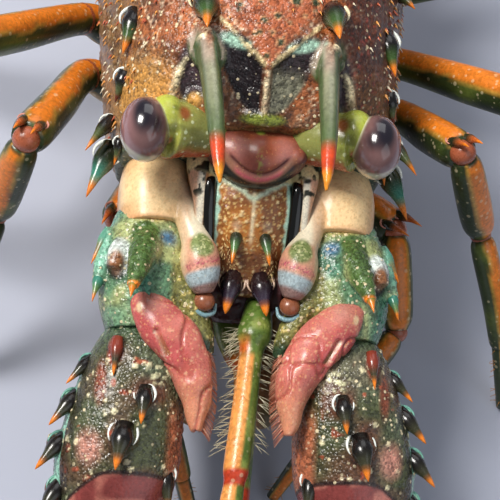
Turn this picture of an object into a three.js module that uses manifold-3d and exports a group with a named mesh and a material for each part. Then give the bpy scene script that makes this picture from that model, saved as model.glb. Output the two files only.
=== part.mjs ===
// A spiny lobster at life size, standing on its ten legs with its feelers raised.
// Millimetres, +Z up, the head faces -Y and the animal's left side is towards +X.
// Places are given as (side, ahead, up) from the middle of the small plate between the feelers,
// and at the end the whole animal is moved so that its box stands centred on z = 0.
import * as THREE from 'three';
import { mergeVertices } from 'three/addons/utils/BufferGeometryUtils.js';
import Module from 'manifold-3d';

const wasm = await Module();
wasm.setup();

// Driving dimensions
const GAP = 0.3;
const FLOOR = -48;
const CARAPACE_FRONT = -14;
const CARAPACE_BACK = -98;
const BODY_HALF_WIDTH = 29;
const BODY_TOP = 27.5;
const BODY_BOTTOM = -22;
const BODY_WIDEST = -3;
const BODY_POWER = 2.2;
const ABDOMEN_SEGMENTS = 6;
const SEGMENT_LENGTH = 17.3;
const ABDOMEN_DROP = 24;
const EYE = [18.5, -11.5, 14.8];
const EYE_RADII = [4, 5.3, 4.9];
const FEELER_ROOT_RADIUS = 3.4;
const FEELER_TIP_RADIUS = 0.5;
const LEG_RADIUS = 3.5;
const FOOT_RADIUS = 1.3;

// Triangle economy
const BODY_SIDES = 22;
const LIMB_SIDES = 10;
const LEG_SIDES = 8;
const THIN_SIDES = 6;
const SPINE_SIDES = 5;
const EYE_SIDES = 14;

// Colours of a live animal: olive green shell, orange marks, pink soft skin
const SHELL = { color: 0x7a4a33, roughness: 0.5, metalness: 0 };
const OLIVE = { color: 0x6a6a3a, roughness: 0.5, metalness: 0 };
const ORANGE = { color: 0xb8622c, roughness: 0.5, metalness: 0 };
const PINK = { color: 0xd98a78, roughness: 0.45, metalness: 0 };
const STALK = { color: 0xa9b060, roughness: 0.5, metalness: 0 };
const CORNEA = { color: 0x59404e, roughness: 0.2, metalness: 0 };
const LEG = { color: 0x3c4028, roughness: 0.45, metalness: 0 };
const TAN = { color: 0xc08a58, roughness: 0.5, metalness: 0 };

const at = (side, ahead, up) => new THREE.Vector3(side, -ahead, up);
const AHEAD = at(0, 1, 0);
const SIDEWAYS = at(1, 0, 0);
const lerp = THREE.MathUtils.lerp;

let seed = 7;
function draw(low, high) {
  seed = (seed * 1103515245 + 12345) % 2147483648;
  return lerp(low, high, seed / 2147483648);
}

// Solid from a closed geometry
function toSolid(geometry) {
  geometry.deleteAttribute('normal');
  geometry.deleteAttribute('uv');
  const merged = mergeVertices(geometry, 1e-5);
  return new wasm.Manifold(new wasm.Mesh({
    numProp: 3,
    vertProperties: new Float32Array(merged.attributes.position.array),
    triVerts: new Uint32Array(merged.index.array),
  }));
}

function signedPower(value, power) {
  return Math.sign(value) * Math.abs(value) ** power;
}

// A closed loft. Each station is [place, half width, half height above, half height below].
// A station of width 0 is a point, any other end is a flat cap.
function loft(stations, { sides = LIMB_SIDES, hint = SIDEWAYS, power = 2 } = {}) {
  return (grow) => {
    const places = stations.map((station) => station[0].clone());
    const tangents = places.map((_, i) => {
      const before = places[Math.max(i - 1, 0)];
      const after = places[Math.min(i + 1, places.length - 1)];
      return after.clone().sub(before).normalize();
    });
    const last = places.length - 1;
    places[0].addScaledVector(tangents[0], -grow);
    places[last].addScaledVector(tangents[last], grow);
    const positions = [];
    const rings = stations.map(([, width, above = width, below = above], i) => {
      const start = positions.length / 3;
      if (width === 0) {
        positions.push(...places[i].toArray());
        return { start, count: 1 };
      }
      const side = hint.clone().addScaledVector(tangents[i], -hint.dot(tangents[i])).normalize();
      const up = side.clone().cross(tangents[i]).normalize();
      for (let k = 0; k < sides; k += 1) {
        const angle = (2 * Math.PI * (k + 0.5)) / sides;
        const across = signedPower(Math.cos(angle), 2 / power) * (width + grow);
        const rise = signedPower(Math.sin(angle), 2 / power);
        const height = rise * up.z > 0 ? above : below;
        const point = places[i].clone().addScaledVector(side, across);
        point.addScaledVector(up, rise * (height + grow));
        positions.push(...point.toArray());
      }
      return { start, count: sides };
    });
    const faces = [];
    for (let i = 0; i < last; i += 1) joinRings(faces, rings[i], rings[i + 1], sides);
    capRing(faces, rings[0], false);
    capRing(faces, rings[last], true);
    const geometry = new THREE.BufferGeometry();
    geometry.setAttribute('position', new THREE.Float32BufferAttribute(positions, 3));
    geometry.setIndex(faces);
    return toSolid(geometry);
  };
}

function joinRings(faces, ring, next, sides) {
  for (let k = 0; k < sides; k += 1) {
    const turn = (k + 1) % sides;
    const a = ring.start + (ring.count === 1 ? 0 : k);
    const b = ring.start + (ring.count === 1 ? 0 : turn);
    const c = next.start + (next.count === 1 ? 0 : turn);
    const d = next.start + (next.count === 1 ? 0 : k);
    if (a !== b) faces.push(a, d, b);
    if (c !== d) faces.push(b, d, c);
  }
}

function capRing(faces, ring, atEnd) {
  for (let k = 1; k + 1 < ring.count; k += 1) {
    const a = ring.start;
    const b = ring.start + k;
    const c = b + 1;
    faces.push(...(atEnd ? [a, c, b] : [a, b, c]));
  }
}

// An ellipsoid with its radii along the side, ahead and up directions
function ball(centre, radii, detail) {
  return (grow) => {
    const geometry = new THREE.SphereGeometry(1, detail, Math.round(detail * 0.7));
    geometry.scale(radii[0] + grow, radii[1] + grow, radii[2] + grow);
    geometry.translate(...centre.toArray());
    return toSolid(geometry);
  };
}

// A spine that leaves its root along one direction and bends a little towards AHEAD
function spine(root, tip, radius, sunk = radius) {
  const along = tip.clone().sub(root);
  const length = along.length();
  const direction = along.clone().normalize();
  const middle = root.clone().addScaledVector(along, 0.5);
  middle.addScaledVector(AHEAD, -0.05 * length);
  const hint = Math.abs(direction.x) > 0.8 ? new THREE.Vector3(0, 0, 1) : SIDEWAYS;
  const stations = [
    [root.clone().addScaledVector(direction, -sunk), radius],
    [middle, radius * 0.62],
    [tip, 0],
  ];
  return loft(stations, { sides: SPINE_SIDES, hint });
}

const mirror = (side, [x, ahead, up, ...rest]) => [at(side * x, ahead, up), ...rest];
const sideLoft = (side, rows, options) => loft(rows.map((row) => mirror(side, row)), options);
const sideSpine = (side, root, tip, radius) => (
  spine(at(side * root[0], root[1], root[2]), at(side * tip[0], tip[1], tip[2]), radius)
);

// Carapace: a long arched shell, with a groove across it behind the middle
const CARAPACE_ROWS = [
  [CARAPACE_FRONT, 15.5, -17, 22.5],
  [-18, 20, -19, 24],
  [-24, 23.8, -20.5, 25.2],
  [-36, 26, BODY_BOTTOM, 26.4],
  [-50, 27, BODY_BOTTOM, 27.8],
  [-57, 25.3, BODY_BOTTOM, 28],
  [-62, BODY_TOP, BODY_BOTTOM, 28.6],
  [-80, 27, BODY_BOTTOM, BODY_HALF_WIDTH],
  [-92, 24.5, -20, 27.4],
  [CARAPACE_BACK, 21.5, -17, 25],
];

function carapaceShell() {
  const stations = CARAPACE_ROWS.map(([ahead, top, bottom, halfWidth]) => (
    [at(0, ahead, BODY_WIDEST), halfWidth, top - BODY_WIDEST, BODY_WIDEST - bottom]
  ));
  return loft(stations, { sides: BODY_SIDES, power: BODY_POWER });
}

// The shell's surface at a place along the body, an angle of 90 degrees is the ridge of the back
function shellPoint(side, ahead, degrees) {
  const after = CARAPACE_ROWS.findIndex((row) => row[0] <= ahead);
  const index = Math.max(after, 1);
  const [f0, top0, , width0] = CARAPACE_ROWS[index - 1];
  const [f1, top1, , width1] = CARAPACE_ROWS[index];
  const share = (ahead - f0) / (f1 - f0);
  const angle = THREE.MathUtils.degToRad(degrees);
  const x = lerp(width0, width1, share) * signedPower(Math.cos(angle), 2 / BODY_POWER);
  const z = (lerp(top0, top1, share) - BODY_WIDEST) * signedPower(Math.sin(angle), 2 / BODY_POWER);
  return {
    place: at(side * x, ahead, BODY_WIDEST + z),
    normal: at(side * Math.cos(angle), 0, Math.sin(angle)),
  };
}

// Rows of spines: angle up the flank, first and last place, step, first and last length
const SPINE_ROWS = [
  [66, -44, -92, 11, 7, 4],
  [47, -44, -92, 10.5, 5.5, 3.5],
  [28, -46, -92, 10, 5, 3.2],
  [9, -54, -92, 9, 4.2, 3],
  [83, -66, -92, 9, 3.4, 3],
];

function carapaceSpines(side) {
  const spines = [];
  for (const [degrees, first, last, step, longest, shortest] of SPINE_ROWS) {
    const count = Math.floor((first - last) / step) + 1;
    for (let i = 0; i < count; i += 1) {
      const ahead = first - i * step + draw(-1.2, 1.2);
      const length = lerp(longest, shortest, i / count) * draw(0.9, 1.1);
      const { place, normal } = shellPoint(side, ahead, degrees + draw(-2.5, 2.5));
      const tip = place.clone().addScaledVector(normal, length * 0.62);
      tip.addScaledVector(AHEAD, length * 0.85);
      spines.push(spine(place, tip, length * 0.3, length * 0.35));
    }
  }
  return spines;
}

function horn(side) {
  return sideLoft(side, [
    [10.2, -28.5, 19, 2.4, 4.4],
    [9.7, -22.4, 21.6, 2, 3.2],
    [9.1, -15, 24, 1.75, 2.4],
    [8.5, -6, 26.2, 1.5, 1.8],
    [8, 1, 26.8, 1],
    [7.7, 5.1, 26.4, 0],
  ], { sides: LEG_SIDES });
}

function carapace() {
  const forms = [carapaceShell()];
  for (const side of [-1, 1]) {
    forms.push(horn(side));
    forms.push(sideSpine(side, [10.3, -31, 22.4], [10.3, -22.4, 28], 2.2));
    forms.push(sideSpine(side, [21.4, -33, 13.8], [22.8, -26.4, 13.4], 1.9));
    forms.push(sideSpine(side, [22.3, -24, 10], [23.5, -20.4, 8], 1.2));
    forms.push(sideSpine(side, [24.2, -15.5, -0.2], [27.3, -6.9, -0.3], 2));
    forms.push(sideSpine(side, [23.6, -19.5, 4], [28.4, -12.5, 5], 1.3));
    forms.push(...carapaceSpines(side));
  }
  return forms;
}

const sternum = () => [loft([
  [at(0, -18, -24), 8, 5],
  [at(0, -40, -26), 12, 5],
  [at(0, -65, -26.5), 16, 5],
  [at(0, -88, -26), 18, 5],
  [at(0, -97, -24), 14, 4],
], { power: 3 })];

// The small sloping plate between the feelers, with the mouth's front wall below it
const headPlate = () => [
  loft([
    [at(0, -15, -4), 8.4, 12.5, 13],
    [at(0, -7, -5), 8.2, 11.4, 13],
    [at(0, -1, -6), 7.4, 8, 11],
    [at(0, 3.4, -7), 6.2, 4.8, 8],
    [at(0, 6, -8), 4.8, 3.2, 5],
  ], { sides: LIMB_SIDES, power: 3 }),
  ...[-1, 1].flatMap((side) => [
    sideSpine(side, [2, -0.6, 1.4], [2.9, 5.4, 3.6], 0.8),
    sideSpine(side, [2.1, 4.2, -3.2], [3.4, 10.6, -2.2], 1.1),
  ]),
];

const eyeBridge = () => [
  loft([
    [at(-7.4, -13.2, 10), 3],
    [at(-4, -12, 9.4), 4.3],
    [at(0, -11.4, 9), 4.9],
    [at(4, -12, 9.4), 4.3],
    [at(7.4, -13.2, 10), 3],
  ], { hint: AHEAD }),
];

const eyeStalk = (side) => [
  sideLoft(side, [
    [6.4, -13.6, 9.8, 2.6],
    [9.5, -14, 11, 3.8],
    [13.5, -13.8, 12.8, 4.4],
    [17, -13.4, 14, 3.9],
    [19, -13.2, 14.6, 2.4],
  ], { hint: AHEAD }),
];

const eyeBall = (side) => [ball(at(side * EYE[0], EYE[1], EYE[2]), EYE_RADII, EYE_SIDES)];

// Root joint of the big feeler, with the rubbing knob that slides on the head plate
const feelerBase = (side) => [
  sideLoft(side, [
    [15.4, -19, -5, 5.6, 7],
    [15.6, -10, -4.5, 6.4, 8.8, 8],
    [15.4, -3, -4.8, 6, 7.8, 7],
  ], { power: 2.6 }),
  sideLoft(side, [
    [12, -9, 0.6, 2.4],
    [10.2, -3, 1.2, 2.3],
    [8.3, 2.4, 0.9, 3.1],
    [7.6, 6.4, 0.2, 2.7],
    [7.2, 8.8, -0.8, 1.6],
  ], { sides: LEG_SIDES }),
];

const feelerIschium = (side) => [
  sideLoft(side, [
    [16, -5.5, -5.2, 6.2, 6.8],
    [16.6, 1, -5.4, 7.4, 7.6],
    [16.8, 8, -6.2, 7.6, 7.2],
    [16.6, 14, -7.4, 6.2, 6],
  ], { power: 2.4 }),
  sideLoft(side, [
    [13, 3.5, -2, 3],
    [9.6, 9.5, -3.6, 2.7],
    [7, 14.5, -5.2, 2.1],
    [5.6, 17.6, -6.2, 1.1],
  ], { sides: LEG_SIDES }),
  sideSpine(side, [17, 0.7, 1.4], [19.1, 13.5, 6.3], 1.8),
  sideSpine(side, [22.6, 2.6, -1.8], [25, 11.4, -1.2], 1.7),
  sideSpine(side, [23.2, -1.8, -2.4], [25.6, 4.4, -1.8], 1.1),
];

const MERUS_SPINES = [
  [[20.4, 18.2, -3], [20.8, 23.4, -2.6], 1.1],
  [[15.7, 26, -4.2], [16.2, 31, -3], 1.3],
  [[18.6, 32.2, -6.8], [19.7, 38.4, -5.8], 1.7],
  [[25, 19.4, -7.4], [28.2, 23.4, -6.8], 1.1],
  [[27, 25.4, -8.6], [30.4, 30, -8], 1.3],
  [[28.6, 32, -10.4], [32, 36.6, -10], 1.3],
  [[28.2, 38.6, -12.6], [31.6, 44.6, -12], 1.5],
  [[11.6, 37.4, -11.6], [10.6, 43, -11], 1.2],
];

const feelerMerus = (side) => [
  sideLoft(side, [
    [16.4, 12.5, -8.6, 5.8, 5.8],
    [17, 18, -9.5, 7.8, 7.4],
    [18.2, 26, -11.2, 9.3, 7.8],
    [19.5, 35, -13.9, 9.9, 7.6],
    [20.4, 41.5, -15.6, 8, 6.4],
  ], { power: 2.3 }),
  ...MERUS_SPINES.map(([root, tip, radius]) => sideSpine(side, root, tip, radius)),
];

// The soft pink pad that lies along the inner side of the feeler
const feelerPad = (side) => [
  sideLoft(side, [
    [17.6, 9.4, -1, 2.1, 1.4],
    [14.4, 13.7, -1.5, 3.8, 2.4],
    [10.2, 18, -2.7, 3.9, 2.8],
    [7.9, 23.6, -4.6, 2.9, 2.8],
    [7.4, 31, -5.6, 1, 1.2],
  ], { hint: at(0.8, 0.6 * side, 0) }),
];

const CARPUS_END = [27.4, 55.6, -11];
const feelerCarpus = (side) => [
  sideLoft(side, [
    [21, 40, -15.4, 5.6, 5.2],
    [22.2, 45, -15, 7, 6.2],
    [24.6, 50.4, -13.2, 6.4, 6],
    [...CARPUS_END, 4.6, 4.6],
  ], { power: 2.2 }),
  sideSpine(side, [24.6, 47.4, -9.2], [28.2, 52.6, -6.6], 1.3),
  sideSpine(side, [28, 45, -13], [33.4, 48.4, -12], 1.4),
];

// The long whip: points that it passes, from the carpus out, forward and then back
const WHIP = [CARPUS_END, [43, 77, 2], [80, 94, 22], [122, 75, 42], [149, 24, 56], [158, -40, 60]];
const WHIP_STEPS = 30;
const WHIP_SPLIT = 14;

function whipStations(side, first, last) {
  const curve = new THREE.CatmullRomCurve3(WHIP.map(([x, ahead, up]) => at(side * x, ahead, up)));
  const stations = [];
  for (let i = first; i <= last; i += 1) {
    const share = i / WHIP_STEPS;
    const radius = lerp(FEELER_ROOT_RADIUS, FEELER_TIP_RADIUS, share ** 0.8);
    stations.push([curve.getPointAt(share), radius]);
  }
  return stations;
}

const feelerWhip = (side, first, last) => [
  loft(whipStations(side, first, last), { sides: THIN_SIDES, hint: new THREE.Vector3(0, 0, 1) }),
];

// The two small feelers lie one above the other
const SMALL_FEELER_UPPER = [
  [2.6, 6, -8.6, 2], [2.4, 10, -7.4, 2.7], [1.8, 13.6, -7, 3], [1.4, 16.4, -7, 2.1],
  [0.4, 26, -7.2, 2.1], [-0.7, 35.4, -7.6, 2.1], [-1, 38, -8, 1.7], [-1.5, 42, -8.6, 1.9],
  [-2, 47, -9, 1.6],
];
const SMALL_FEELER_LOWER = [
  [-2.6, 5, -13, 2], [-1.6, 9.4, -13.8, 2.6], [0.6, 13.6, -14.4, 2.9], [1.6, 17, -15, 2.1],
  [1.4, 26, -16.2, 2.1], [0.8, 36, -18, 2.1], [0.6, 42, -18.8, 1.9], [0.4, 47, -19, 1.6],
];
const smallFeeler = (rows) => [sideLoft(1, rows, { sides: LEG_SIDES })];

function smallWhips(rows, spread) {
  const [x, ahead, up] = rows[rows.length - 1];
  return [-1, 1].map((branch) => {
    const curve = new THREE.CatmullRomCurve3([
      at(x, ahead - 1, up),
      at(x + spread * 0.3 + branch * 2.5, ahead + 20, up + 6),
      at(x + spread * 0.7 + branch * 6, ahead + 48, up + 22),
      at(x + spread + branch * 9, ahead + 72, up + 46),
    ]);
    const stations = curve.getSpacedPoints(9).map((place, i) => [place, lerp(1.1, 0.4, i / 9)]);
    return loft(stations, { sides: SPINE_SIDES });
  });
}

const mouthLeg = (side) => [
  sideLoft(side, [
    [5.2, -8, -20, 2.8], [6, 2, -22, 3.4, 3], [6.8, 13, -24.6, 3, 2.6], [6.6, 19, -28, 2.5],
    [5.6, 17, -33, 2.1], [4.8, 11, -35.6, 1.6], [4.4, 5, -36, 0.8],
  ], { sides: LEG_SIDES }),
];

// Walking legs, from the front pair back: hip, rise, knee, ankle, and where the foot stands.
// The two sides differ a little, as the animal steps.
const LEGS = {
  left: [
    [[13, -26, -23], [22, -21, -19], [29, -13, -15], [31, 3, -25], [11, 29]],
    [[15, -42, -24], [30, -37, -13], [36.6, -18.4, 4.4], [45.6, -14, -16], [58, 8]],
    [[17, -55, -24], [31, -49, -13], [53, -27, 7], [62, -23, -13], [86, -12]],
    [[18, -69, -24], [33, -68, -14], [55, -64, 4], [64, -66, -15], [88, -78]],
    [[18, -83, -24], [32, -88, -15], [48, -98, 0], [55, -105, -17], [70, -130]],
  ],
  right: [
    [[13, -26, -23], [19, -20, -20], [21.6, -12, -17.5], [15, 11, -26], [3, 38]],
    [[15, -43, -24], [29.6, -40, -13], [37.6, -14, 4.8], [43, -11, -16], [53, 9]],
    [[17, -57, -24], [31, -53, -13], [51, -30, 7], [60, -27, -13], [84, -18]],
    [[18, -69, -24], [33, -67, -14], [55, -61, 4], [64, -62, -15], [88, -72]],
    [[18, -83, -24], [32, -89, -15], [47, -100, 0], [53, -108, -17], [66, -134]],
  ],
};

// The five places of one leg in space, the foot's centre lies just under the floor's level
function legPlaces(leg, side) {
  return leg.map(([x, ahead, up = FLOOR - FOOT_RADIUS]) => at(side * x, ahead, up));
}

function legHint(places, side) {
  const out = places[4].clone().sub(places[0]);
  return new THREE.Vector3(-out.y, out.x, 0).normalize().multiplyScalar(side);
}

function upperLeg(leg, side) {
  const places = legPlaces(leg, side);
  const [hip, rise, knee] = places;
  const stations = [
    [hip, LEG_RADIUS * 1.35],
    [hip.clone().lerp(rise, 0.62), LEG_RADIUS * 1.1],
    [rise, LEG_RADIUS * 0.92],
    [rise.clone().lerp(knee, 0.5), LEG_RADIUS, LEG_RADIUS * 1.15],
    [knee.clone().lerp(rise, 0.12), LEG_RADIUS * 0.95],
    [knee, LEG_RADIUS * 0.7],
  ];
  const top = knee.clone().lerp(rise, 0.14).add(new THREE.Vector3(0, 0, LEG_RADIUS * 0.6));
  const out = knee.clone().sub(rise).normalize().multiplyScalar(LEG_RADIUS * 1.6);
  out.z += LEG_RADIUS * 0.9;
  return [
    loft(stations, { sides: LEG_SIDES, hint: legHint(places, side) }),
    spine(top, top.clone().add(out), 1, 1.6),
  ];
}

function lowerLeg(leg, side) {
  const places = legPlaces(leg, side);
  const [, , knee, ankle, foot] = places;
  const shin = (share) => {
    const place = ankle.clone().lerp(foot, share);
    place.z += 3 * Math.sin(Math.PI * share);
    return place;
  };
  const stations = [
    [knee, LEG_RADIUS * 0.62],
    [knee.clone().lerp(ankle, 0.22), LEG_RADIUS * 0.86],
    [knee.clone().lerp(ankle, 0.8), LEG_RADIUS * 0.9],
    [ankle, LEG_RADIUS * 0.6],
    [shin(0.1), LEG_RADIUS * 0.7],
    [shin(0.62), LEG_RADIUS * 0.58],
    [shin(0.68), LEG_RADIUS * 0.46],
    [shin(0.84), LEG_RADIUS * 0.44],
    [foot, FOOT_RADIUS],
  ];
  return [loft(stations, { sides: LEG_SIDES, hint: legHint(places, side) })];
}

// Abdomen: an arched chain that sinks towards the tail
function abdomenAxis(share) {
  const ahead = CARAPACE_BACK - share * ABDOMEN_SEGMENTS * SEGMENT_LENGTH;
  return at(0, ahead, BODY_WIDEST - 1 - ABDOMEN_DROP * share ** 1.7);
}

function abdomenSize(share) {
  return {
    halfWidth: lerp(26, 18.5, share ** 1.2),
    above: lerp(24, 13.5, share),
    below: lerp(13, 9.5, share),
  };
}

function abdomenRing(share, swell) {
  const { halfWidth, above, below } = abdomenSize(share);
  return [abdomenAxis(share), halfWidth * swell, above * swell, below];
}

// The pointed side flap of one ring of the abdomen
function flap(side, share) {
  const { halfWidth, below } = abdomenSize(share);
  const axis = abdomenAxis(share);
  const place = (across, back, up) => (
    new THREE.Vector3(side * halfWidth * across, axis.y + back, axis.z + up)
  );
  return loft([
    [place(0.86, -1, 1), 1.7, 6.5],
    [place(0.95, 0.5, -below * 0.7), 1.5, 5.6],
    [place(0.97, 4, -below - 3.6), 1, 2.6],
    [place(0.95, 7.5, -below - 6.5), 0],
  ], { sides: THIN_SIDES });
}

// The paddle under one ring of the abdomen
function paddle(side, share) {
  const { halfWidth, below } = abdomenSize(share);
  const root = abdomenAxis(share);
  const place = (across, back, up) => (
    new THREE.Vector3(side * halfWidth * across, root.y + back, root.z - below + up)
  );
  return loft([
    [place(0.42, 0, 2.5), 1.6, 0.9],
    [place(0.45, 2.5, -3), 3.8, 0.8],
    [place(0.5, 6, -7.5), 4.4, 0.7],
    [place(0.52, 9.5, -10.5), 2.2, 0.5],
  ], { sides: THIN_SIDES });
}

function abdomenRingNode(index) {
  const start = index / ABDOMEN_SEGMENTS;
  const end = (index + 1) / ABDOMEN_SEGMENTS;
  const lap = 0.016;
  const forms = [loft([
    abdomenRing(Math.max(start - lap, 0.004), 0.94),
    abdomenRing(lerp(start, end, 0.3), 0.97),
    abdomenRing(lerp(start, end, 0.75), 1),
    abdomenRing(end, 0.98),
  ], { sides: 16, power: 2.2 })];
  for (const side of [-1, 1]) {
    forms.push(flap(side, lerp(start, end, 0.6)));
    if (index > 0 && index < ABDOMEN_SEGMENTS - 1) forms.push(paddle(side, lerp(start, end, 0.35)));
  }
  return forms;
}

// Tail fan: five thin plates side by side, each one a little lower at its end
const FAN_LENGTH = 40;
function fanPlate(side, spread, offset, halfWidth, length, lift) {
  const root = abdomenAxis(1);
  const turn = THREE.MathUtils.degToRad(spread);
  const place = (share) => new THREE.Vector3(
    side * (offset + Math.sin(turn) * length * share),
    root.y - 2 + Math.cos(turn) * length * share,
    root.z + lift - 3 - 13 * share,
  );
  const widths = [0.45, 0.7, 0.92, 1, 0.92, 0.5];
  const stations = widths.map((width, i) => (
    [place(i / (widths.length - 1)), halfWidth * width, lerp(1.6, 0.5, i / (widths.length - 1))]
  ));
  const hint = new THREE.Vector3(Math.cos(turn), -side * Math.sin(turn), 0);
  return [loft(stations, { sides: LEG_SIDES, hint, power: 2.4 })];
}

// Every node with its forms, in the order in which they make room for one another
function nodeList() {
  const nodes = [
    ['carapace', carapace(), SHELL],
    ['sternum', sternum(), TAN],
    ['head_plate', headPlate(), ORANGE],
    ['eye_bridge', eyeBridge(), PINK],
  ];
  for (const [label, side] of [['left', 1], ['right', -1]]) {
    nodes.push([`feeler_${label}_base`, feelerBase(side), TAN]);
    nodes.push([`eyestalk_${label}`, eyeStalk(side), STALK]);
    nodes.push([`eye_${label}`, eyeBall(side), CORNEA]);
    nodes.push([`feeler_${label}_ischium`, feelerIschium(side), OLIVE]);
    nodes.push([`feeler_${label}_merus`, feelerMerus(side), OLIVE]);
    nodes.push([`feeler_${label}_pad`, feelerPad(side), PINK]);
    nodes.push([`feeler_${label}_carpus`, feelerCarpus(side), OLIVE]);
    nodes.push([`feeler_${label}_whip_inner`, feelerWhip(side, 0, WHIP_SPLIT), ORANGE]);
    nodes.push([`feeler_${label}_whip_outer`, feelerWhip(side, WHIP_SPLIT, WHIP_STEPS), ORANGE]);
    nodes.push([`mouth_leg_${label}`, mouthLeg(side), TAN]);
    LEGS[label].forEach((leg, i) => {
      nodes.push([`leg_${label}_${i + 1}_upper`, upperLeg(leg, side), LEG]);
      nodes.push([`leg_${label}_${i + 1}_lower`, lowerLeg(leg, side), LEG]);
    });
  }
  nodes.push(['small_feeler_left', smallFeeler(SMALL_FEELER_UPPER), OLIVE]);
  nodes.push(['small_feeler_right', smallFeeler(SMALL_FEELER_LOWER), OLIVE]);
  nodes.push(['small_whips_left', smallWhips(SMALL_FEELER_UPPER, 10), ORANGE]);
  nodes.push(['small_whips_right', smallWhips(SMALL_FEELER_LOWER, -12), ORANGE]);
  for (let i = 0; i < ABDOMEN_SEGMENTS; i += 1) {
    nodes.push([`abdomen_${i + 1}`, abdomenRingNode(i), SHELL]);
  }
  nodes.push(['telson', fanPlate(1, 0, 0, 12, FAN_LENGTH, 1), SHELL]);
  for (const [label, side] of [['left', 1], ['right', -1]]) {
    nodes.push([`tail_inner_${label}`, fanPlate(side, 21, 10, 10.5, FAN_LENGTH * 0.98, 0), SHELL]);
    nodes.push([`tail_outer_${label}`, fanPlate(side, 42, 13.5, 11, FAN_LENGTH * 0.94, -1), SHELL]);
  }
  return nodes;
}

function joined(forms, grow) {
  return forms.map((form) => form(grow)).reduce((sum, solid) => sum.add(solid));
}

function overlap(a, b) {
  return [0, 1, 2].every((k) => a.min[k] < b.max[k] && b.min[k] < a.max[k]);
}

function largest(solid) {
  return solid.decompose().reduce((best, piece) => (piece.volume() > best.volume() ? piece : best));
}

function toMesh(name, solid, look) {
  const { vertProperties, triVerts } = solid.getMesh();
  const geometry = new THREE.BufferGeometry();
  geometry.setAttribute('position', new THREE.Float32BufferAttribute(vertProperties, 3));
  geometry.setIndex([...triVerts]);
  const mesh = new THREE.Mesh(geometry, new THREE.MeshStandardMaterial(look));
  mesh.name = name;
  return mesh;
}

// Everything below the floor is cut away, which leaves a small flat under each foot
const FLOOR_SIZE = 600;
const FLOOR_DEPTH = 20;
const FLOOR_BOX = toSolid(
  new THREE.BoxGeometry(FLOOR_SIZE, FLOOR_SIZE, FLOOR_DEPTH).translate(0, 0, FLOOR - FLOOR_DEPTH / 2),
);

const group = new THREE.Group();
const placed = [];
for (const [name, forms, look] of nodeList()) {
  let solid = joined(forms, 0).subtract(FLOOR_BOX);
  const room = solid.boundingBox();
  for (const other of placed) {
    if (overlap(room, other.box)) solid = solid.subtract(other.grown);
  }
  solid = largest(solid);
  const grown = joined(forms, GAP);
  placed.push({ grown, box: grown.boundingBox() });
  group.add(toMesh(name, solid, look));
}

// The box stands centred over the origin, with its bottom on z = 0
const box = new THREE.Box3().setFromObject(group);
const middle = box.getCenter(new THREE.Vector3());
group.position.set(-middle.x, -middle.y, -box.min.z);

export default group;
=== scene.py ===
import math

import bpy
import numpy as np
from mathutils import Matrix, Vector


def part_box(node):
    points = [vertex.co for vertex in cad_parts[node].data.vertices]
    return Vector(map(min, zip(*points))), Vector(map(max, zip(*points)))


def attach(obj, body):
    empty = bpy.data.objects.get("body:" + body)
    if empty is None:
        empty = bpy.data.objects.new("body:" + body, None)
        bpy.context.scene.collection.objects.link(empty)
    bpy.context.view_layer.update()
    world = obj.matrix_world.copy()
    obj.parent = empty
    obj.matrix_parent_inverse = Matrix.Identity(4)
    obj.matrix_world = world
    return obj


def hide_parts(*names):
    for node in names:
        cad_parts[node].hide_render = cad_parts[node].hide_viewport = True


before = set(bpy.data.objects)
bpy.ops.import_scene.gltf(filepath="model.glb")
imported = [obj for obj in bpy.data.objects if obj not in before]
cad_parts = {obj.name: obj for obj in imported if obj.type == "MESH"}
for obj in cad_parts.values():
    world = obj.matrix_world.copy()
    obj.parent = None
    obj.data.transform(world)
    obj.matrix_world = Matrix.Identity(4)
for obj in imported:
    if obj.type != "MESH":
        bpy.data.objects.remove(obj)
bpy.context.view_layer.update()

# The animal is drawn in millimetres from the middle of the plate between the feelers:
# x to its left, y backwards, z up. Places are written (side, ahead, up).
MM = 0.001
FLOOR = -48.0
CARAPACE_BACK = -98.0
BODY_WIDEST = -3.0
BODY_POWER = 2.2
ABDOMEN_RINGS = 6
RING_LENGTH = 17.3
ABDOMEN_DROP = 24.0
LEG_RADIUS = 3.5
FOOT_RADIUS = 1.3
FOOT_REST = 0.84
SHIN_BOW = 3
EYE = (18.5, -11.5, 14.8)
EYE_RADII = (4.0, 5.3, 4.9)
SHIFT = np.array([0.0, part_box("carapace")[1].y / MM + CARAPACE_BACK, -FLOOR])

# The photo's camera, solved from pairs of like points on the two sides of the head
CAMERA_AZIMUTH = -14.39
CAMERA_ELEVATION = 62.01
CAMERA_ROLL = 16.66
CAMERA_DISTANCE = 200.0
CAMERA_TARGET = (0.23, 0.65, -0.44)
CAMERA_LENS = 87.12
SENSOR = 36.0
CLIP_START = 0.005

# Studio: name, place from the head, aim from the head, size, watts, colour; lengths in metres
LIGHTS = (
    ("key", (-0.3, 0.12, 0.5), (0, 0, 0), 0.2, 4.2, (1, 0.97, 0.92)),
    ("fill", (0.4, -0.4, 0.5), (0, 0, 0), 0.6, 0.9, (0.88, 0.93, 1)),
    ("rear", (0.1, 0.7, 0.6), (0, 0.08, 0), 0.6, 1.5, (1, 1, 1)),
)
SKY_COLOUR = (0.75, 0.8, 0.88, 1)
SKY_STRENGTH = 0.24
FLOOR_HALF = 3.0
FLOOR_COLOUR = (0.5, 0.53, 0.64, 1)
FLOOR_ROUGHNESS = 0.9


def rgb(code):
    """A colour written as 0xRRGGBB, as a linear one. One that is linear already stays as it is."""
    if not isinstance(code, int):
        return code
    parts = np.array([(code >> shift & 255) / 255 for shift in (16, 8, 0)])
    return np.where(parts <= 0.04045, parts / 12.92, ((parts + 0.055) / 1.055) ** 2.4)


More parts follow.
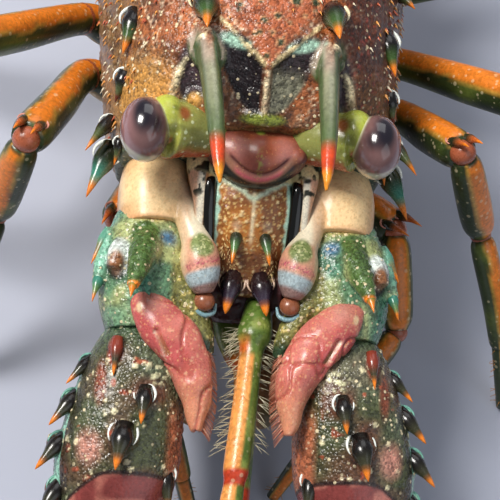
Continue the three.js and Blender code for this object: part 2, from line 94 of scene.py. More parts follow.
ORANGE = rgb(0xC0602C)
TIP = rgb(0xF08420)
GOLD = rgb(0xCC9448)
CREAM = rgb(0xF4E2B8)
WHITE = rgb(0xEEF2EA)
MINT = rgb(0xB4DCC4)
TEAL = rgb(0x3E8672)
OLIVE = rgb(0x55603A)
DARK_OLIVE = rgb(0x2A3220)
BLACK = rgb(0x14100F)
PURPLE = rgb(0x241519)
MAROON = rgb(0x53262A)
PINK = rgb(0xD0766A)
MAGENTA = rgb(0xC04C68)
SILVER = rgb(0xAEBFC4)
BLUE = rgb(0x2F6088)
YELLOW_GREEN = rgb(0xA4B446)

SEED = 11
rng = np.random.default_rng(SEED)

# How many hairs each part bears
CARAPACE_HAIRS = 420
PLATE_HAIRS = 260
MERUS_HAIRS = 70
FRINGE_HAIRS = 80
WHIP_HAIRS = 46
SMALL_FEELER_HAIRS = 150
MOUTH_LEG_HAIRS = 90
FOOT_HAIRS = 40
HAIR_TONES = (0xE8A050, 0xC06040, 0xE8DCC0)


# Points, noise and masks
def at(side, ahead, up):
    return np.array([side, -ahead, up], float)


def step(low, high, value):
    t = np.clip((value - low) / (high - low), 0, 1)
    return t * t * (3 - 2 * t)


def mix(a, b, share):
    return a + (b - a) * np.asarray(share)[..., None]


def mirrored(p):
    """Points as side, ahead, up, with the animal's right side laid over its left one."""
    return np.stack([np.abs(p[:, 0]), -p[:, 1], p[:, 2]], 1)


def bell(distance, width):
    """1 where the distance is 0, fading to 0 on both sides."""
    return np.exp(-(distance / width) ** 2)


class Coat:
    """The colours of a piece's points: a ground colour, with others laid over it by their shares."""

    def __init__(self, p, ground):
        self.colour = np.tile(rgb(ground), (len(p), 1))

    def over(self, colour, share):
        self.colour = mix(self.colour, rgb(colour), share)


def blob(p, centre, radii, soft=0.35):
    """1 inside an ellipsoid that lies on both sides of the animal alike, 0 outside it."""
    q = mirrored(p)
    d = np.linalg.norm((q - np.array(centre)) / np.array(radii), axis=1)
    return 1 - step(1 - soft, 1 + soft, d)


def trail(p, points, width, soft=0.5):
    """1 along a line through points, on both sides alike, fading over its width."""
    q = mirrored(p)
    best = np.full(len(q), 1e9)
    for a, b in zip(points[:-1], points[1:]):
        a, b = np.array(a, float), np.array(b, float)
        t = np.clip((q - a) @ (b - a) / ((b - a) @ (b - a)), 0, 1)
        best = np.minimum(best, np.linalg.norm(q - (a + t[:, None] * (b - a)), axis=1))
    return 1 - step(width * (1 - soft), width * (1 + soft), best)


def hashed(cell, seed):
    """Repeatable random numbers from 0 to 1 for whole-number cells."""
    n = cell[..., 0] * 73856093 ^ cell[..., 1] * 19349663 ^ cell[..., 2] * 83492791 ^ seed * 2654435
    n = (n ^ (n >> 13)) * 1274126177 & 0x7FFFFFFF
    n = (n ^ (n >> 16)) * 2246822519 & 0x7FFFFFFF
    return (n & 0xFFFFF) / 0xFFFFF


def cells(p, size, seed=1):
    """Distance to the nearest scattered point, in cell sizes, and that point's random number."""
    q = p / size
    base = np.floor(q).astype(np.int64)
    best = np.full(len(q), 9.0)
    value = np.zeros(len(q))
    for dx in (-1, 0, 1):
        for dy in (-1, 0, 1):
            for dz in (-1, 0, 1):
                cell = base + np.array([dx, dy, dz])
                spot = np.stack([hashed(cell, seed + k) for k in range(3)], 1)
                d = np.linalg.norm(cell + spot - q, axis=1)
                near = d < best
                best = np.where(near, d, best)
                value = np.where(near, hashed(cell, seed + 5), value)
    return best, value


def noise(p, size, seed=3):
    """Smooth noise from -1 to 1."""
    q = p / size
    base = np.floor(q).astype(np.int64)
    t = q - base
    t = t * t * (3 - 2 * t)
    total = np.zeros(len(q))
    for corner in range(8):
        offset = np.array([corner & 1, corner >> 1 & 1, corner >> 2 & 1])
        weight = np.prod(np.where(offset == 1, t, 1 - t), axis=1)
        total += weight * hashed(base + offset, seed)
    return total * 2 - 1


def granules(p, size, fill=0.42, seed=1):
    d, value = cells(p, size, seed)
    return np.clip(1 - (d / (fill * (0.6 + 0.6 * value))) ** 2, 0, 1)


# Forms: each is a dict of points p, faces, and per point t along and a around
def smooth_rows(rows, steps):
    rows = np.array(rows, float)
    padded = np.vstack([2 * rows[0] - rows[1], rows, 2 * rows[-1] - rows[-2]])
    out = []
    for i in range(len(rows) - 1):
        a, b, c, d = padded[i:i + 4]
        for k in range(steps):
            t = k / steps
            out.append(0.5 * (2 * b + (c - a) * t + (2 * a - 5 * b + 4 * c - d) * t**2
                              + (3 * b - a - 3 * c + d) * t**3))
    out.append(rows[-1])
    return np.array(out)


def loft(side, rows, sides=32, steps=6, hint=(1, 0, 0), power=2.0, profile=None):
    """A closed loft. A row is side, ahead, up, half width, half height above and below."""
    rows = [[side * r[0], -r[1], r[2], r[3], r[4] if len(r) > 4 else r[3],
             r[5] if len(r) > 5 else (r[4] if len(r) > 4 else r[3])] for r in rows]
    dense = smooth_rows(rows, steps) if steps > 1 else np.array(rows, float)
    centre = dense[:, :3]
    size = np.maximum(dense[:, 3:], 0.03)
    tangent = np.gradient(centre, axis=0)
    tangent /= np.linalg.norm(tangent, axis=1)[:, None]
    across = np.array(hint, float) - (tangent @ np.array(hint, float))[:, None] * tangent
    across /= np.linalg.norm(across, axis=1)[:, None]
    up = np.cross(across, tangent)
    way = 1 if up[:, 2].sum() > 0 else -1
    angle = 2 * np.pi * np.arange(sides) / sides
    c, s = np.cos(angle), np.sin(angle)
    cs = np.sign(c) * np.abs(c) ** (2 / power)
    sn = np.sign(s) * np.abs(s) ** (2 / power)
    height = np.where(s * way > 0, size[:, 1:2], size[:, 2:3])
    scale = np.ones((len(dense), sides)) if profile is None else profile(len(dense), angle)
    p = (centre[:, None] + (cs * size[:, :1] * scale)[..., None] * across[:, None]
         + (sn * height * scale)[..., None] * up[:, None])
    count = len(dense)
    points = np.vstack([p.reshape(-1, 3), centre[:1], centre[-1:]])
    t = np.repeat(np.linspace(0, 1, count), sides)
    faces = []
    for i in range(count - 1):
        for k in range(sides):
            n = (k + 1) % sides
            faces.append((i * sides + k, (i + 1) * sides + k, (i + 1) * sides + n, i * sides + n))
    for k in range(sides):
        n = (k + 1) % sides
        faces.append((count * sides, k, n))
        faces.append((count * sides + 1, (count - 1) * sides + n, (count - 1) * sides + k))
    return {"p": points, "faces": faces, "t": np.append(t, [0, 1]),
            "a": np.append(np.tile(angle * way, count), [0, 0])}


def ball(centre, radii, detail=40):
    rows = []
    for i in range(detail // 2 + 1):
        turn = math.pi * i / (detail // 2)
        rows.append([centre[0] - radii[0] * math.cos(turn), centre[1], centre[2],
                     radii[1] * math.sin(turn), radii[2] * math.sin(turn)])
    return loft(1, rows, sides=detail, steps=1, hint=(0, 1, 0))


def thorn(side, root, tip, radius, sides=14, rings=9, bulge=0.7, bend=0.06):
    """A spine: a rounded root, then a fine point, bent a little."""
    root, tip = np.array(root, float), np.array(tip, float)
    rows = []
    length = np.linalg.norm(tip - root)
    for i in range(rings + 1):
        t = i / rings
        place = root + (tip - root) * t
        place[2] += bend * length * math.sin(math.pi * t)
        width = radius * (1 - t) ** bulge * (1 - 0.25 * t) * (1 + 0.25 * math.sin(math.pi * min(t * 2, 1)))
        rows.append([*place, max(width, 0.05)])
    along = (tip - root) / length
    hint = (0, 0, 1) if abs(along[0]) > 0.8 else (1, 0, 0)
    start = root - along * radius
    return loft(side, [[*start, radius * 0.9]] + rows, sides=sides, steps=1, hint=hint)


def join(forms):
    start, points, faces, t, a = 0, [], [], [], []
    for form in forms:
        points.append(form["p"])
        faces.extend(tuple(i + start for i in face) for face in form["faces"])
        t.append(form["t"])
        a.append(form["a"])
        start += len(form["p"])
    return {"p": np.vstack(points), "faces": faces, "t": np.concatenate(t), "a": np.concatenate(a)}


# Meshes
def new_object(name, points, faces):
    mesh = bpy.data.meshes.new(name)
    mesh.from_pydata((points + SHIFT) * MM, [], faces)
    mesh.validate()
    mesh.update()
    obj = bpy.data.objects.new(name, mesh)
    bpy.context.scene.collection.objects.link(obj)
    return obj


def fused(forms, voxel, rounds):
    """One closed surface round several forms: voxel remesh, then smoothing."""
    whole = join(forms)
    obj = new_object("fusing", whole["p"], whole["faces"])
    remesh = obj.modifiers.new("remesh", "REMESH")
    remesh.mode = "VOXEL"
    remesh.voxel_size = voxel * MM
    soften = obj.modifiers.new("soften", "SMOOTH")
    soften.factor = 0.5
    soften.iterations = rounds
    graph = bpy.context.evaluated_depsgraph_get()
    made = obj.evaluated_get(graph).to_mesh()
    p = np.empty(len(made.vertices) * 3)
    made.vertices.foreach_get("co", p)
    faces = [tuple(face.vertices) for face in made.polygons]
    p = p.reshape(-1, 3) / MM - SHIFT
    mesh = obj.data
    bpy.data.objects.remove(obj)
    bpy.data.meshes.remove(mesh)
    return {"p": p, "faces": faces, "t": np.zeros(len(p)), "a": np.zeros(len(p))}


def normals_of(obj):
    n = np.empty(len(obj.data.vertices) * 3)
    obj.data.vertices.foreach_get("normal", n)
    return n.reshape(-1, 3)


def piece(name, form, nodes, material, tint, lift=None):
    """A finished piece. tint(p, n, form) gives colours and masks; lift moves points outwards, in mm."""
    if lift is not None:
        draft = new_object("draft", form["p"], form["faces"])
        n = normals_of(draft)
        form = {**form, "p": form["p"] + n * lift(form["p"], n)[:, None]}
        mesh = draft.data
        bpy.data.objects.remove(draft)
        bpy.data.meshes.remove(mesh)
    obj = new_object(name, form["p"], form["faces"])
    colour, mask = tint(form["p"], normals_of(obj), form)
    paint(obj, "tint", colour)
    paint(obj, "mask", mask)
    obj.data.polygons.foreach_set("use_smooth", [True] * len(obj.data.polygons))
    obj.data.materials.append(material)
    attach(obj, "root")
    if nodes:
        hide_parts(*nodes)
    return obj


def dress(node, kind, form, material, tint, lift=None):
    """The visible piece of one solid, named after it."""
    return piece(f"{node}_{kind}", form, (node,), material, tint, lift)


def paint(obj, name, colour):
    layer = obj.data.color_attributes.new(name, "FLOAT_COLOR", "POINT")
    full = np.ones((len(obj.data.vertices), 4))
    full[:, :3] = np.clip(colour, 0, 1)
    layer.data.foreach_set("color", full.ravel())


def masks(p, dots=0.0, grain=0.5, gloss=0.0):
    """Amount of pale dots, of fine grain and of gloss, per point."""
    return np.stack([np.broadcast_to(v, len(p)).astype(float) for v in (dots, grain, gloss)], 1)


# Materials
def shell_material(name, dot_size=1.1, dot_colour=CREAM, grain_size=0.45, relief=0.12, rough=0.42,
                   coat=0.15, subsurface=0.0, contrast=0.5):
    """Shell: painted tint, pale raised dots, fine granules and mottling, satin with a thin wet coat."""
    made = bpy.data.materials.new(name)
    made.use_nodes = True
    tree = made.node_tree
    link = tree.links.new
    shader = tree.nodes["Principled BSDF"]
    shader.inputs["Coat Weight"].default_value = coat
    shader.inputs["Coat Roughness"].default_value = 0.2
    shader.inputs["Subsurface Weight"].default_value = subsurface
    shader.inputs["Subsurface Radius"].default_value = (0.004, 0.0015, 0.001)
    shader.inputs["Subsurface Scale"].default_value = 0.5

    def node(kind, **values):
        n = tree.nodes.new(kind)
        for key, value in values.items():
            if key in n.inputs:
                n.inputs[key].default_value = value
            else:
                setattr(n, key, value)
        return n

    def ramp(source, low, high):
        n = node("ShaderNodeMapRange", interpolation_type="SMOOTHSTEP")
        n.inputs["From Min"].default_value = low
        n.inputs["From Max"].default_value = high
        link(source, n.inputs["Value"])
        return n.outputs["Result"]

    def calc(operation, a, b):
        n = node("ShaderNodeMath", operation=operation)
        for socket, value in zip(n.inputs, (a, b)):
            if isinstance(value, (int, float)):
                socket.default_value = value
            else:
                link(value, socket)
        return n.outputs["Value"]

    place = node("ShaderNodeTexCoord").outputs["Object"]
    tint = node("ShaderNodeAttribute", attribute_name="tint").outputs["Color"]
    mask = node("ShaderNodeSeparateColor")
    link(node("ShaderNodeAttribute", attribute_name="mask").outputs["Color"], mask.inputs["Color"])
    dots, grain, gloss = (mask.outputs[k] for k in ("Red", "Green", "Blue"))

    blotches = node("ShaderNodeTexNoise", Scale=260.0, Detail=5.0, Roughness=0.65)
    spots = node("ShaderNodeTexVoronoi", Scale=1 / (dot_size * MM), Randomness=1.0)
    sand = node("ShaderNodeTexVoronoi", Scale=1 / (grain_size * MM), Randomness=1.0)
    for texture in (blotches, spots, sand):
        link(place, texture.inputs["Vector"])
    chance = node("ShaderNodeSeparateColor")
    link(spots.outputs["Color"], chance.inputs["Color"])
    reach = calc("MULTIPLY", chance.outputs["Red"], 0.36)
    dot = ramp(calc("SUBTRACT", reach, spots.outputs["Distance"]), -0.05, 0.1)
    dot = calc("MULTIPLY", dot, dots)

    shade = node("ShaderNodeSeparateColor")
    link(sand.outputs["Color"], shade.inputs["Color"])
    speck = calc("MULTIPLY", calc("SUBTRACT", shade.outputs["Green"], 0.45), grain)
    light = calc("ADD", calc("MULTIPLY", calc("SUBTRACT", blotches.outputs["Fac"], 0.5), contrast * 2), 1.0)
    light = calc("ADD", light, calc("MULTIPLY", speck, contrast * 2.2))
    toned = node("ShaderNodeVectorMath", operation="SCALE")
    link(tint, toned.inputs[0])
    link(light, toned.inputs["Scale"])
    dotted = node("ShaderNodeMix", data_type="RGBA")
    dotted.inputs[7].default_value = (*dot_colour, 1)
    link(dot, dotted.inputs[0])
    link(toned.outputs["Vector"], dotted.inputs[6])
    link(dotted.outputs[2], shader.inputs["Base Color"])

    rest = calc("SUBTRACT", rough, calc("MULTIPLY", gloss, rough * 0.75))
    rest = calc("ADD", rest, calc("MULTIPLY", speck, 0.25))
    link(rest, shader.inputs["Roughness"])

    height = calc("MULTIPLY", calc("SUBTRACT", 0.5, sand.outputs["Distance"]), grain)
    height = calc("ADD", height, calc("MULTIPLY", dot, 0.9))
    height = calc("ADD", height, calc("MULTIPLY", blotches.outputs["Fac"], 0.6))
    bump = node("ShaderNodeBump", Strength=0.8, Distance=relief * MM)
    link(height, bump.inputs["Height"])
    link(bump.outputs["Normal"], shader.inputs["Normal"])
    return made


SHELL = shell_material("shell", dot_size=1.05, contrast=0.6, relief=0.2, rough=0.38, coat=0.3)
FEELER = shell_material("feeler_shell", dot_size=1.0, contrast=0.6, relief=0.2, rough=0.36, coat=0.35)
SMOOTH = shell_material("smooth_shell", dot_size=0.9, grain_size=0.3, relief=0.05, rough=0.38,
                        contrast=0.25)
SKIN = shell_material("soft_skin", dot_size=0.5, dot_colour=rgb(0xE8B070), grain_size=0.25, relief=0.04,
                      rough=0.45, coat=0.12, subsurface=0.2, contrast=0.3)
STALK = shell_material("eye_stalk", dot_size=1.1, dot_colour=rgb(0xE6EFC0), relief=0.05, rough=0.35,
                       subsurface=0.1, contrast=0.25)
SPINE = shell_material("spine", dot_size=0.6, grain_size=0.3, relief=0.03, rough=0.3, coat=0.3,
                       contrast=0.25)
LEG = shell_material("leg_shell", dot_size=1.2, grain_size=0.5, relief=0.08, rough=0.42, coat=0.12,
                     contrast=0.4)
GLASSY = shell_material("cornea", dot_size=0.5, grain_size=0.12, relief=0.004, rough=0.16, coat=0.9,
                        contrast=0.12)
TAIL = shell_material("tail_plate", dot_size=1.2, grain_size=0.4, relief=0.08, rough=0.4, contrast=0.45)


# Spines with their rims
class Thorns:
    """Gathers the spines of one part and the pale rims round their roots."""

    def __init__(self):
        self.forms, self.colours, self.masks = [], [], []

    def add(self, side, root, tip, radius, base=BLACK, middle=OLIVE, point=TIP, rim=WHITE, **shape):
        form = thorn(side, root, tip, radius, **shape)
        t = form["t"]
        colour = mix(np.tile(rgb(base), (len(t), 1)), rgb(middle), step(0.3, 0.6, t))
        colour = mix(colour, rgb(point), step(0.66, 0.8, t))
        self.forms.append(form)
        self.colours.append(colour)
        self.masks.append(masks(colour, dots=0, grain=0.3, gloss=0.4 * (1 - t)))
        if rim is not None:
            self.rim(side, np.array(root, float), np.array(tip, float), radius, rim)

    def rim(self, side, root, tip, radius, colour):
        """A tapered crescent round the back of the root, flat on the shell."""
        along = (tip - root) / np.linalg.norm(tip - root)
        flat = np.array([along[0], along[1], along[2] * 0.4])
        flat /= np.linalg.norm(flat)
        wide = np.cross(flat, [0, 0, 1.0])
        wide /= np.linalg.norm(wide)
        rise = np.cross(wide, flat)
        rows = []
        for turn in np.linspace(-2.2, 2.2, 19):
            place = (root - flat * math.cos(turn) * radius * 1.3 + wide * math.sin(turn) * radius * 1.25
                     + rise * 0.25)
            rows.append([*place, 0.07 + 0.2 * radius * math.cos(turn / 2.2 * 1.5)])
        self.take(loft(side, rows, sides=8, steps=1, hint=tuple(rise * [1, -1, 1])), colour, 0.6)

    def take(self, form, colour, grain=0.3, gloss=0.0):
        self.forms.append(form)
        self.colours.append(np.tile(rgb(colour), (len(form["p"]), 1)))
        self.masks.append(masks(form["p"], 0, grain, gloss))

    def hair(self, side, root, tip, radius, colour, sides=4, bend=0.1):
        self.take(thorn(side, root, tip, radius, sides=sides, rings=4, bend=bend), colour, 0.2)

    def bead(self, side, centre, radii, colour):
        self.take(ball((side * centre[0], centre[1], centre[2]), radii, 20), colour, 0.4)

    def build(self, name):
        form = join(self.forms)
        colour, mask = np.vstack(self.colours), np.vstack(self.masks)
        return piece(name, form, (), SPINE, lambda p, n, f: (colour, mask))


# Carapace
CARAPACE_ROWS = [
    (-14, 15.5, -17, 22.5), (-18, 20, -19, 24), (-24, 23.8, -20.5, 25.2), (-36, 26, -22, 26.4),
    (-50, 27, -22, 27.8), (-57, 25.3, -22, 28), (-62, 27.5, -22, 28.6), (-80, 27, -22, 29),
    (-92, 24.5, -20, 27.4), (CARAPACE_BACK, 21.5, -17, 25),
]
HORN_ROWS = [
    (10.4, -34, 17.6, 1.6, 4.6), (10.2, -28.5, 19, 2, 4.2), (9.7, -22.4, 21.4, 1.75, 3.0),
    (9.1, -15, 24, 1.6, 2.3),
    (8.5, -6, 26.2, 1.35, 1.7), (8, 1, 26.8, 0.9, 0.95), (7.7, 4.9, 26.4, 0.1, 0.1),
]
SPINE_ROWS = [
    (66, -44, 11, 7, 4), (47, -44, 10.5, 5.5, 3.5), (28, -46, 10, 5, 3.2), (9, -54, 9, 4.2, 3),
    (83, -66, 9, 3.4, 3),
]
ORBIT_RIM = [(10.4, -24, 24.6), (12.2, -23, 21.4), (13.6, -21, 18.4), (14.4, -19, 16.6), (14.9, -17, 14.9)]
V_EDGE = [(8.2, -27.5, 24.2), (4, -23.6, 23.2), (0, -20.3, 21.8)]


def shell_station(ahead):
    rows = np.array(CARAPACE_ROWS)[::-1]
    return [np.interp(ahead, rows[:, 0], rows[:, k]) for k in (1, 2, 3)]


def shell_point(side, ahead, degrees):
    top, _, width = shell_station(ahead)
    c, s = math.cos(math.radians(degrees)), math.sin(math.radians(degrees))
    x = width * c ** (2 / BODY_POWER)
    z = BODY_WIDEST + (top - BODY_WIDEST) * s ** (2 / BODY_POWER)
    return np.array([x, ahead, z]), np.array([c, 0, s])


def horn_share(p):
    """1 on the horns, 0 on the shell below them."""
    q = mirrored(p)
    line = smooth_rows(HORN_ROWS, 8)
    d = np.min(np.linalg.norm(q[:, None] - line[None, 8:, :3], axis=2) / (line[None, 8:, 3] + 1.0), axis=1)
    return (1 - step(0.9, 1.15, d)) * step(-28, -24, q[:, 1])


def carapace_lift(p, n):
    high = step(-18, -6, p[:, 2])
    bumps = 0.34 * granules(p, 2.3, 0.4, 4) + 0.16 * granules(p, 1.2, 0.45, 9)
    horn = horn_share(p)
    rise = bumps * high * (1 - horn)
    rise += 0.35 * trail(p, V_EDGE, 0.55) + 0.45 * trail(p, ORBIT_RIM, 0.6)
    rise += 0.3 * trail(p, [(0, -20.3, 21.8), (0, -14, 16)], 0.5)
    rise -= 1.6 * blob(p, (11.8, -19.6, 19), (2.2, 4.6, 6), 0.5) * (1 - horn)
    rise -= 1.0 * blob(p, (4.4, -18.6, 20), (3.6, 5.2, 5.4), 0.6) * (1 - horn)
    rise += 1.1 * blob(p, (11.4, -16.4, 16.8), (1.2, 1.4, 1.6), 0.6)
    rise += 0.6 * blob(p, (1.2, -14.4, 16), (2.4, 1, 1.2), 0.6)
    f = -p[:, 1]
    rise -= 1.3 * bell(f + 57 + 0.012 * p[:, 0] ** 2, 1.8) * high
    rise -= 0.9 * bell(f + 93.5, 1.1) * high
    return rise


def carapace_tint(p, n, form):
    x, f, z = mirrored(p).T
    soft, fine = noise(p, 6, 3), noise(p, 2.2, 8)
    top = step(8, 22, z + 3 * soft)
    coat = Coat(p, 0x84643C)
    coat.over(0x92522E, top)
    coat.over(0xB0602C, 0.7 * top * step(-0.4, 0.5, fine))
    pores = granules(p, 1.5, 0.5, 22)
    coat.over(0x4A2A1C, 0.55 * step(0.1, 0.5, noise(p, 3.2, 24)))
    coat.over(0xE0C8A8, 0.55 * step(0.12, 0.3, pores) * step(0.62, 0.45, pores) * step(12, 18, z))
    coat.over(0x402818, 0.5 * step(0.6, 0.8, pores))
    coat.over(MAROON, 0.65 * step(-0.1, 0.5, soft + 0.5 * fine) * step(-34, -48, f))
    coat.over(GOLD, 0.85 * blob(p, (18.6, -19.6, 12.5), (6, 5.5, 6), 0.6))
    coat.over(0xB89078, 0.7 * step(10, 0, z) * step(-50, -20, f) * (0.6 + 0.4 * fine))
    coat.over(0xC9A878, 0.8 * step(-6, -16, z))
    # Painted shade: the right flank, on the side away from the key light, is painted dark maroon with red
    # flecks. This is partly its own darker colour and partly painted shade.
    shade = step(11, 15, p[:, 0] + 1.5 * fine) * step(-58, -36, f + 4 * soft)
    coat.over(0x3A1C1A, 0.8 * shade)
    coat.over(0x9C4034, 0.6 * shade * step(0.3, 0.7, granules(p, 1.3, 0.4, 38)))
    dots = 0.4 + 0.5 * step(4, 12, z) * step(24, 20, z + 2 * soft) * (1 - 0.6 * shade)
    inside = step(0.6, -0.6, x - (-20.4 - f) * 0.78) * step(-19, -22, f) * step(14, 20, z)
    ring = granules(p, 2.1, 0.42, 21)
    coat.over(0xA85A36, inside)
    coat.over(0xC89468, 0.8 * inside * step(0.1, 0.25, ring))
    coat.over(0x3A4024, inside * step(0.45, 0.65, ring))
    dots = dots * (1 - 0.7 * inside)
    patch = (step(-0.5, 0.4, f + 20.4 + 1.05 * x) * step(-25.4, -24.6, f + 0.5 * fine) * step(0.35, 0.8, x)
             * step(9.6, 8.8, x) * step(-14.3, -15, f + 0.12 * x**2) * step(12, 14, z))
    grey = Coat(p, 0x7C7A66)
    grey.over(0x6A3E30, step(5.4, 7, x))
    grey.over(PURPLE, step(-18.5, -21.5, f))
    coat.over(np.where((p[:, 0] > 0)[:, None], grey.colour, PURPLE * 0.5), patch)
    dots = np.maximum(dots * (1 - patch), 0.7 * patch)
    # Painted shade: the hollow beside each horn root is painted dark, dark green towards its front.
    hollow_painted_shade = blob(p, (11.7, -20, 19.6), (2.6, 5.2, 6.4), 0.2) * step(0.1, 0.6, 14.6 - x - 0.8 * (f + 18))
    coat.over(0x3A2A30, hollow_painted_shade)
    coat.over(0x3C5A38, hollow_painted_shade * step(-18.5, -16.5, f))
    coat.over(GOLD, blob(p, (11.4, -16.4, 17), (1.4, 1.3, 1.8), 0.5))
    coat.over(MINT, 0.85 * trail(p, [(3.4, -23.6, 22.6), (6, -24, 23), (8.4, -24.6, 24)], 0.8))
    coat.over(0xEAD09A, trail(p, V_EDGE, 0.38))
    coat.over(CREAM, 0.9 * trail(p, [(0, -20.3, 21.8), (0, -13, 15)], 0.4))
    coat.over(CREAM, trail(p, ORBIT_RIM, 0.55))
    coat.over(WHITE, blob(p, (14.8, -16.6, 15.2), (1, 1.2, 1.3), 0.4))
    coat.over(0x8C9838, blob(p, (0.8, -14.2, 16), (2.8, 0.9, 1.2), 0.4))
    coat.over(BLACK, trail(p, [(-1, -15, 16.9), (3, -15, 16.8)], 0.3) * 0.8)
    coat.over(TEAL * 0.5, 0.7 * step(-15.5, -14.2, f) * step(14, 8, z))
    horn = horn_share(p)
    # Painted highlight: horn faces that turn up and towards the key light are painted pale sage, and pale
    # pink near the horn roots.
    horn_painted_highlight = step(0.55, 0.95, n[:, 2] - 0.25 * n[:, 0])
    spike = Coat(p, 0x4E6238)
    spike.over(0xA09E84, 0.8 * horn_painted_highlight * step(-2, -16, f))
    spike.over(0xC8A89C, horn_painted_highlight * step(-16, -20, f) * 0.5)
    spike.over(0xD84A20, step(-4.5, -1.5, f))
    spike.over(0xF59A24, step(0.2, 2.2, f))
    coat.over(spike.colour, horn)
    return coat.colour, masks(p, dots * (1 - horn), 0.8 - 0.6 * horn, 0.35 * patch + 0.2 * horn)


def carapace():
    shell = [(0, ahead, BODY_WIDEST, wide, top - BODY_WIDEST, BODY_WIDEST - low)
             for ahead, top, low, wide in CARAPACE_ROWS]
    forms = [loft(1, shell, sides=72, steps=6, power=BODY_POWER)]
    for side in (-1, 1):
        forms.append(loft(side, HORN_ROWS, sides=24))
    body = fused(forms, voxel=0.42, rounds=4)
    dress("carapace", "shell", body, SHELL, carapace_tint, carapace_lift)


def carapace_spines():
    thorns = Thorns()
    for side in (-1, 1):
        for degrees, first, gap, longest, shortest in SPINE_ROWS:
            count = int((first + 92) // gap) + 1
            for i in range(count):
                ahead = first - i * gap + rng.uniform(-1.2, 1.2)
                length = (longest + (shortest - longest) * i / count) * rng.uniform(0.9, 1.1)
                root, normal = shell_point(side, ahead, degrees + rng.uniform(-2.5, 2.5))
                tip = root + normal * length * 0.6 + np.array([0, length * 0.85, 0])
                thorns.add(side, root, tip, length * 0.27, rim=MINT if i < 2 else CREAM)
        thorns.add(side, (10.3, -31, 22.8), (10.3, -22.6, 27.6), 2.1, middle=0x3E5A2A, rim=CREAM)
        thorns.add(side, (21.4, -33, 14), (22.8, -26.6, 13.4), 1.8, middle=0x3E5A2A)
        thorns.add(side, (22.4, -24, 10.2), (23.5, -20.6, 8), 1.3, point=0x6A3020)
        thorns.add(side, (24.2, -15.5, -0.2), (27.2, -7, -0.3), 1.9, base=DARK_OLIVE, middle=TEAL)
        thorns.add(side, (24.4, -19, 4), (27.8, -12.8, 5), 1.2)
        thorns.add(side, (22.4, -15.6, 3.6), (23, -12.4, 1.6), 0.8, base=BLACK)
        for _ in range(CARAPACE_HAIRS):
            ahead, degrees = rng.uniform(-90, -17), rng.uniform(2, 84)
            root, normal = shell_point(side, ahead, degrees)
            size = rng.uniform(0.7, 1.5)
            tip = root + normal * size * 0.5 + np.array([0, size * 0.9, rng.uniform(-0.2, 0.2)])
            tone = HAIR_TONES[rng.integers(3)]
            if ahead < -26 or degrees < 40:
                thorns.hair(side, root, tip, 0.24, tone)
    thorns.build("carapace_spines")


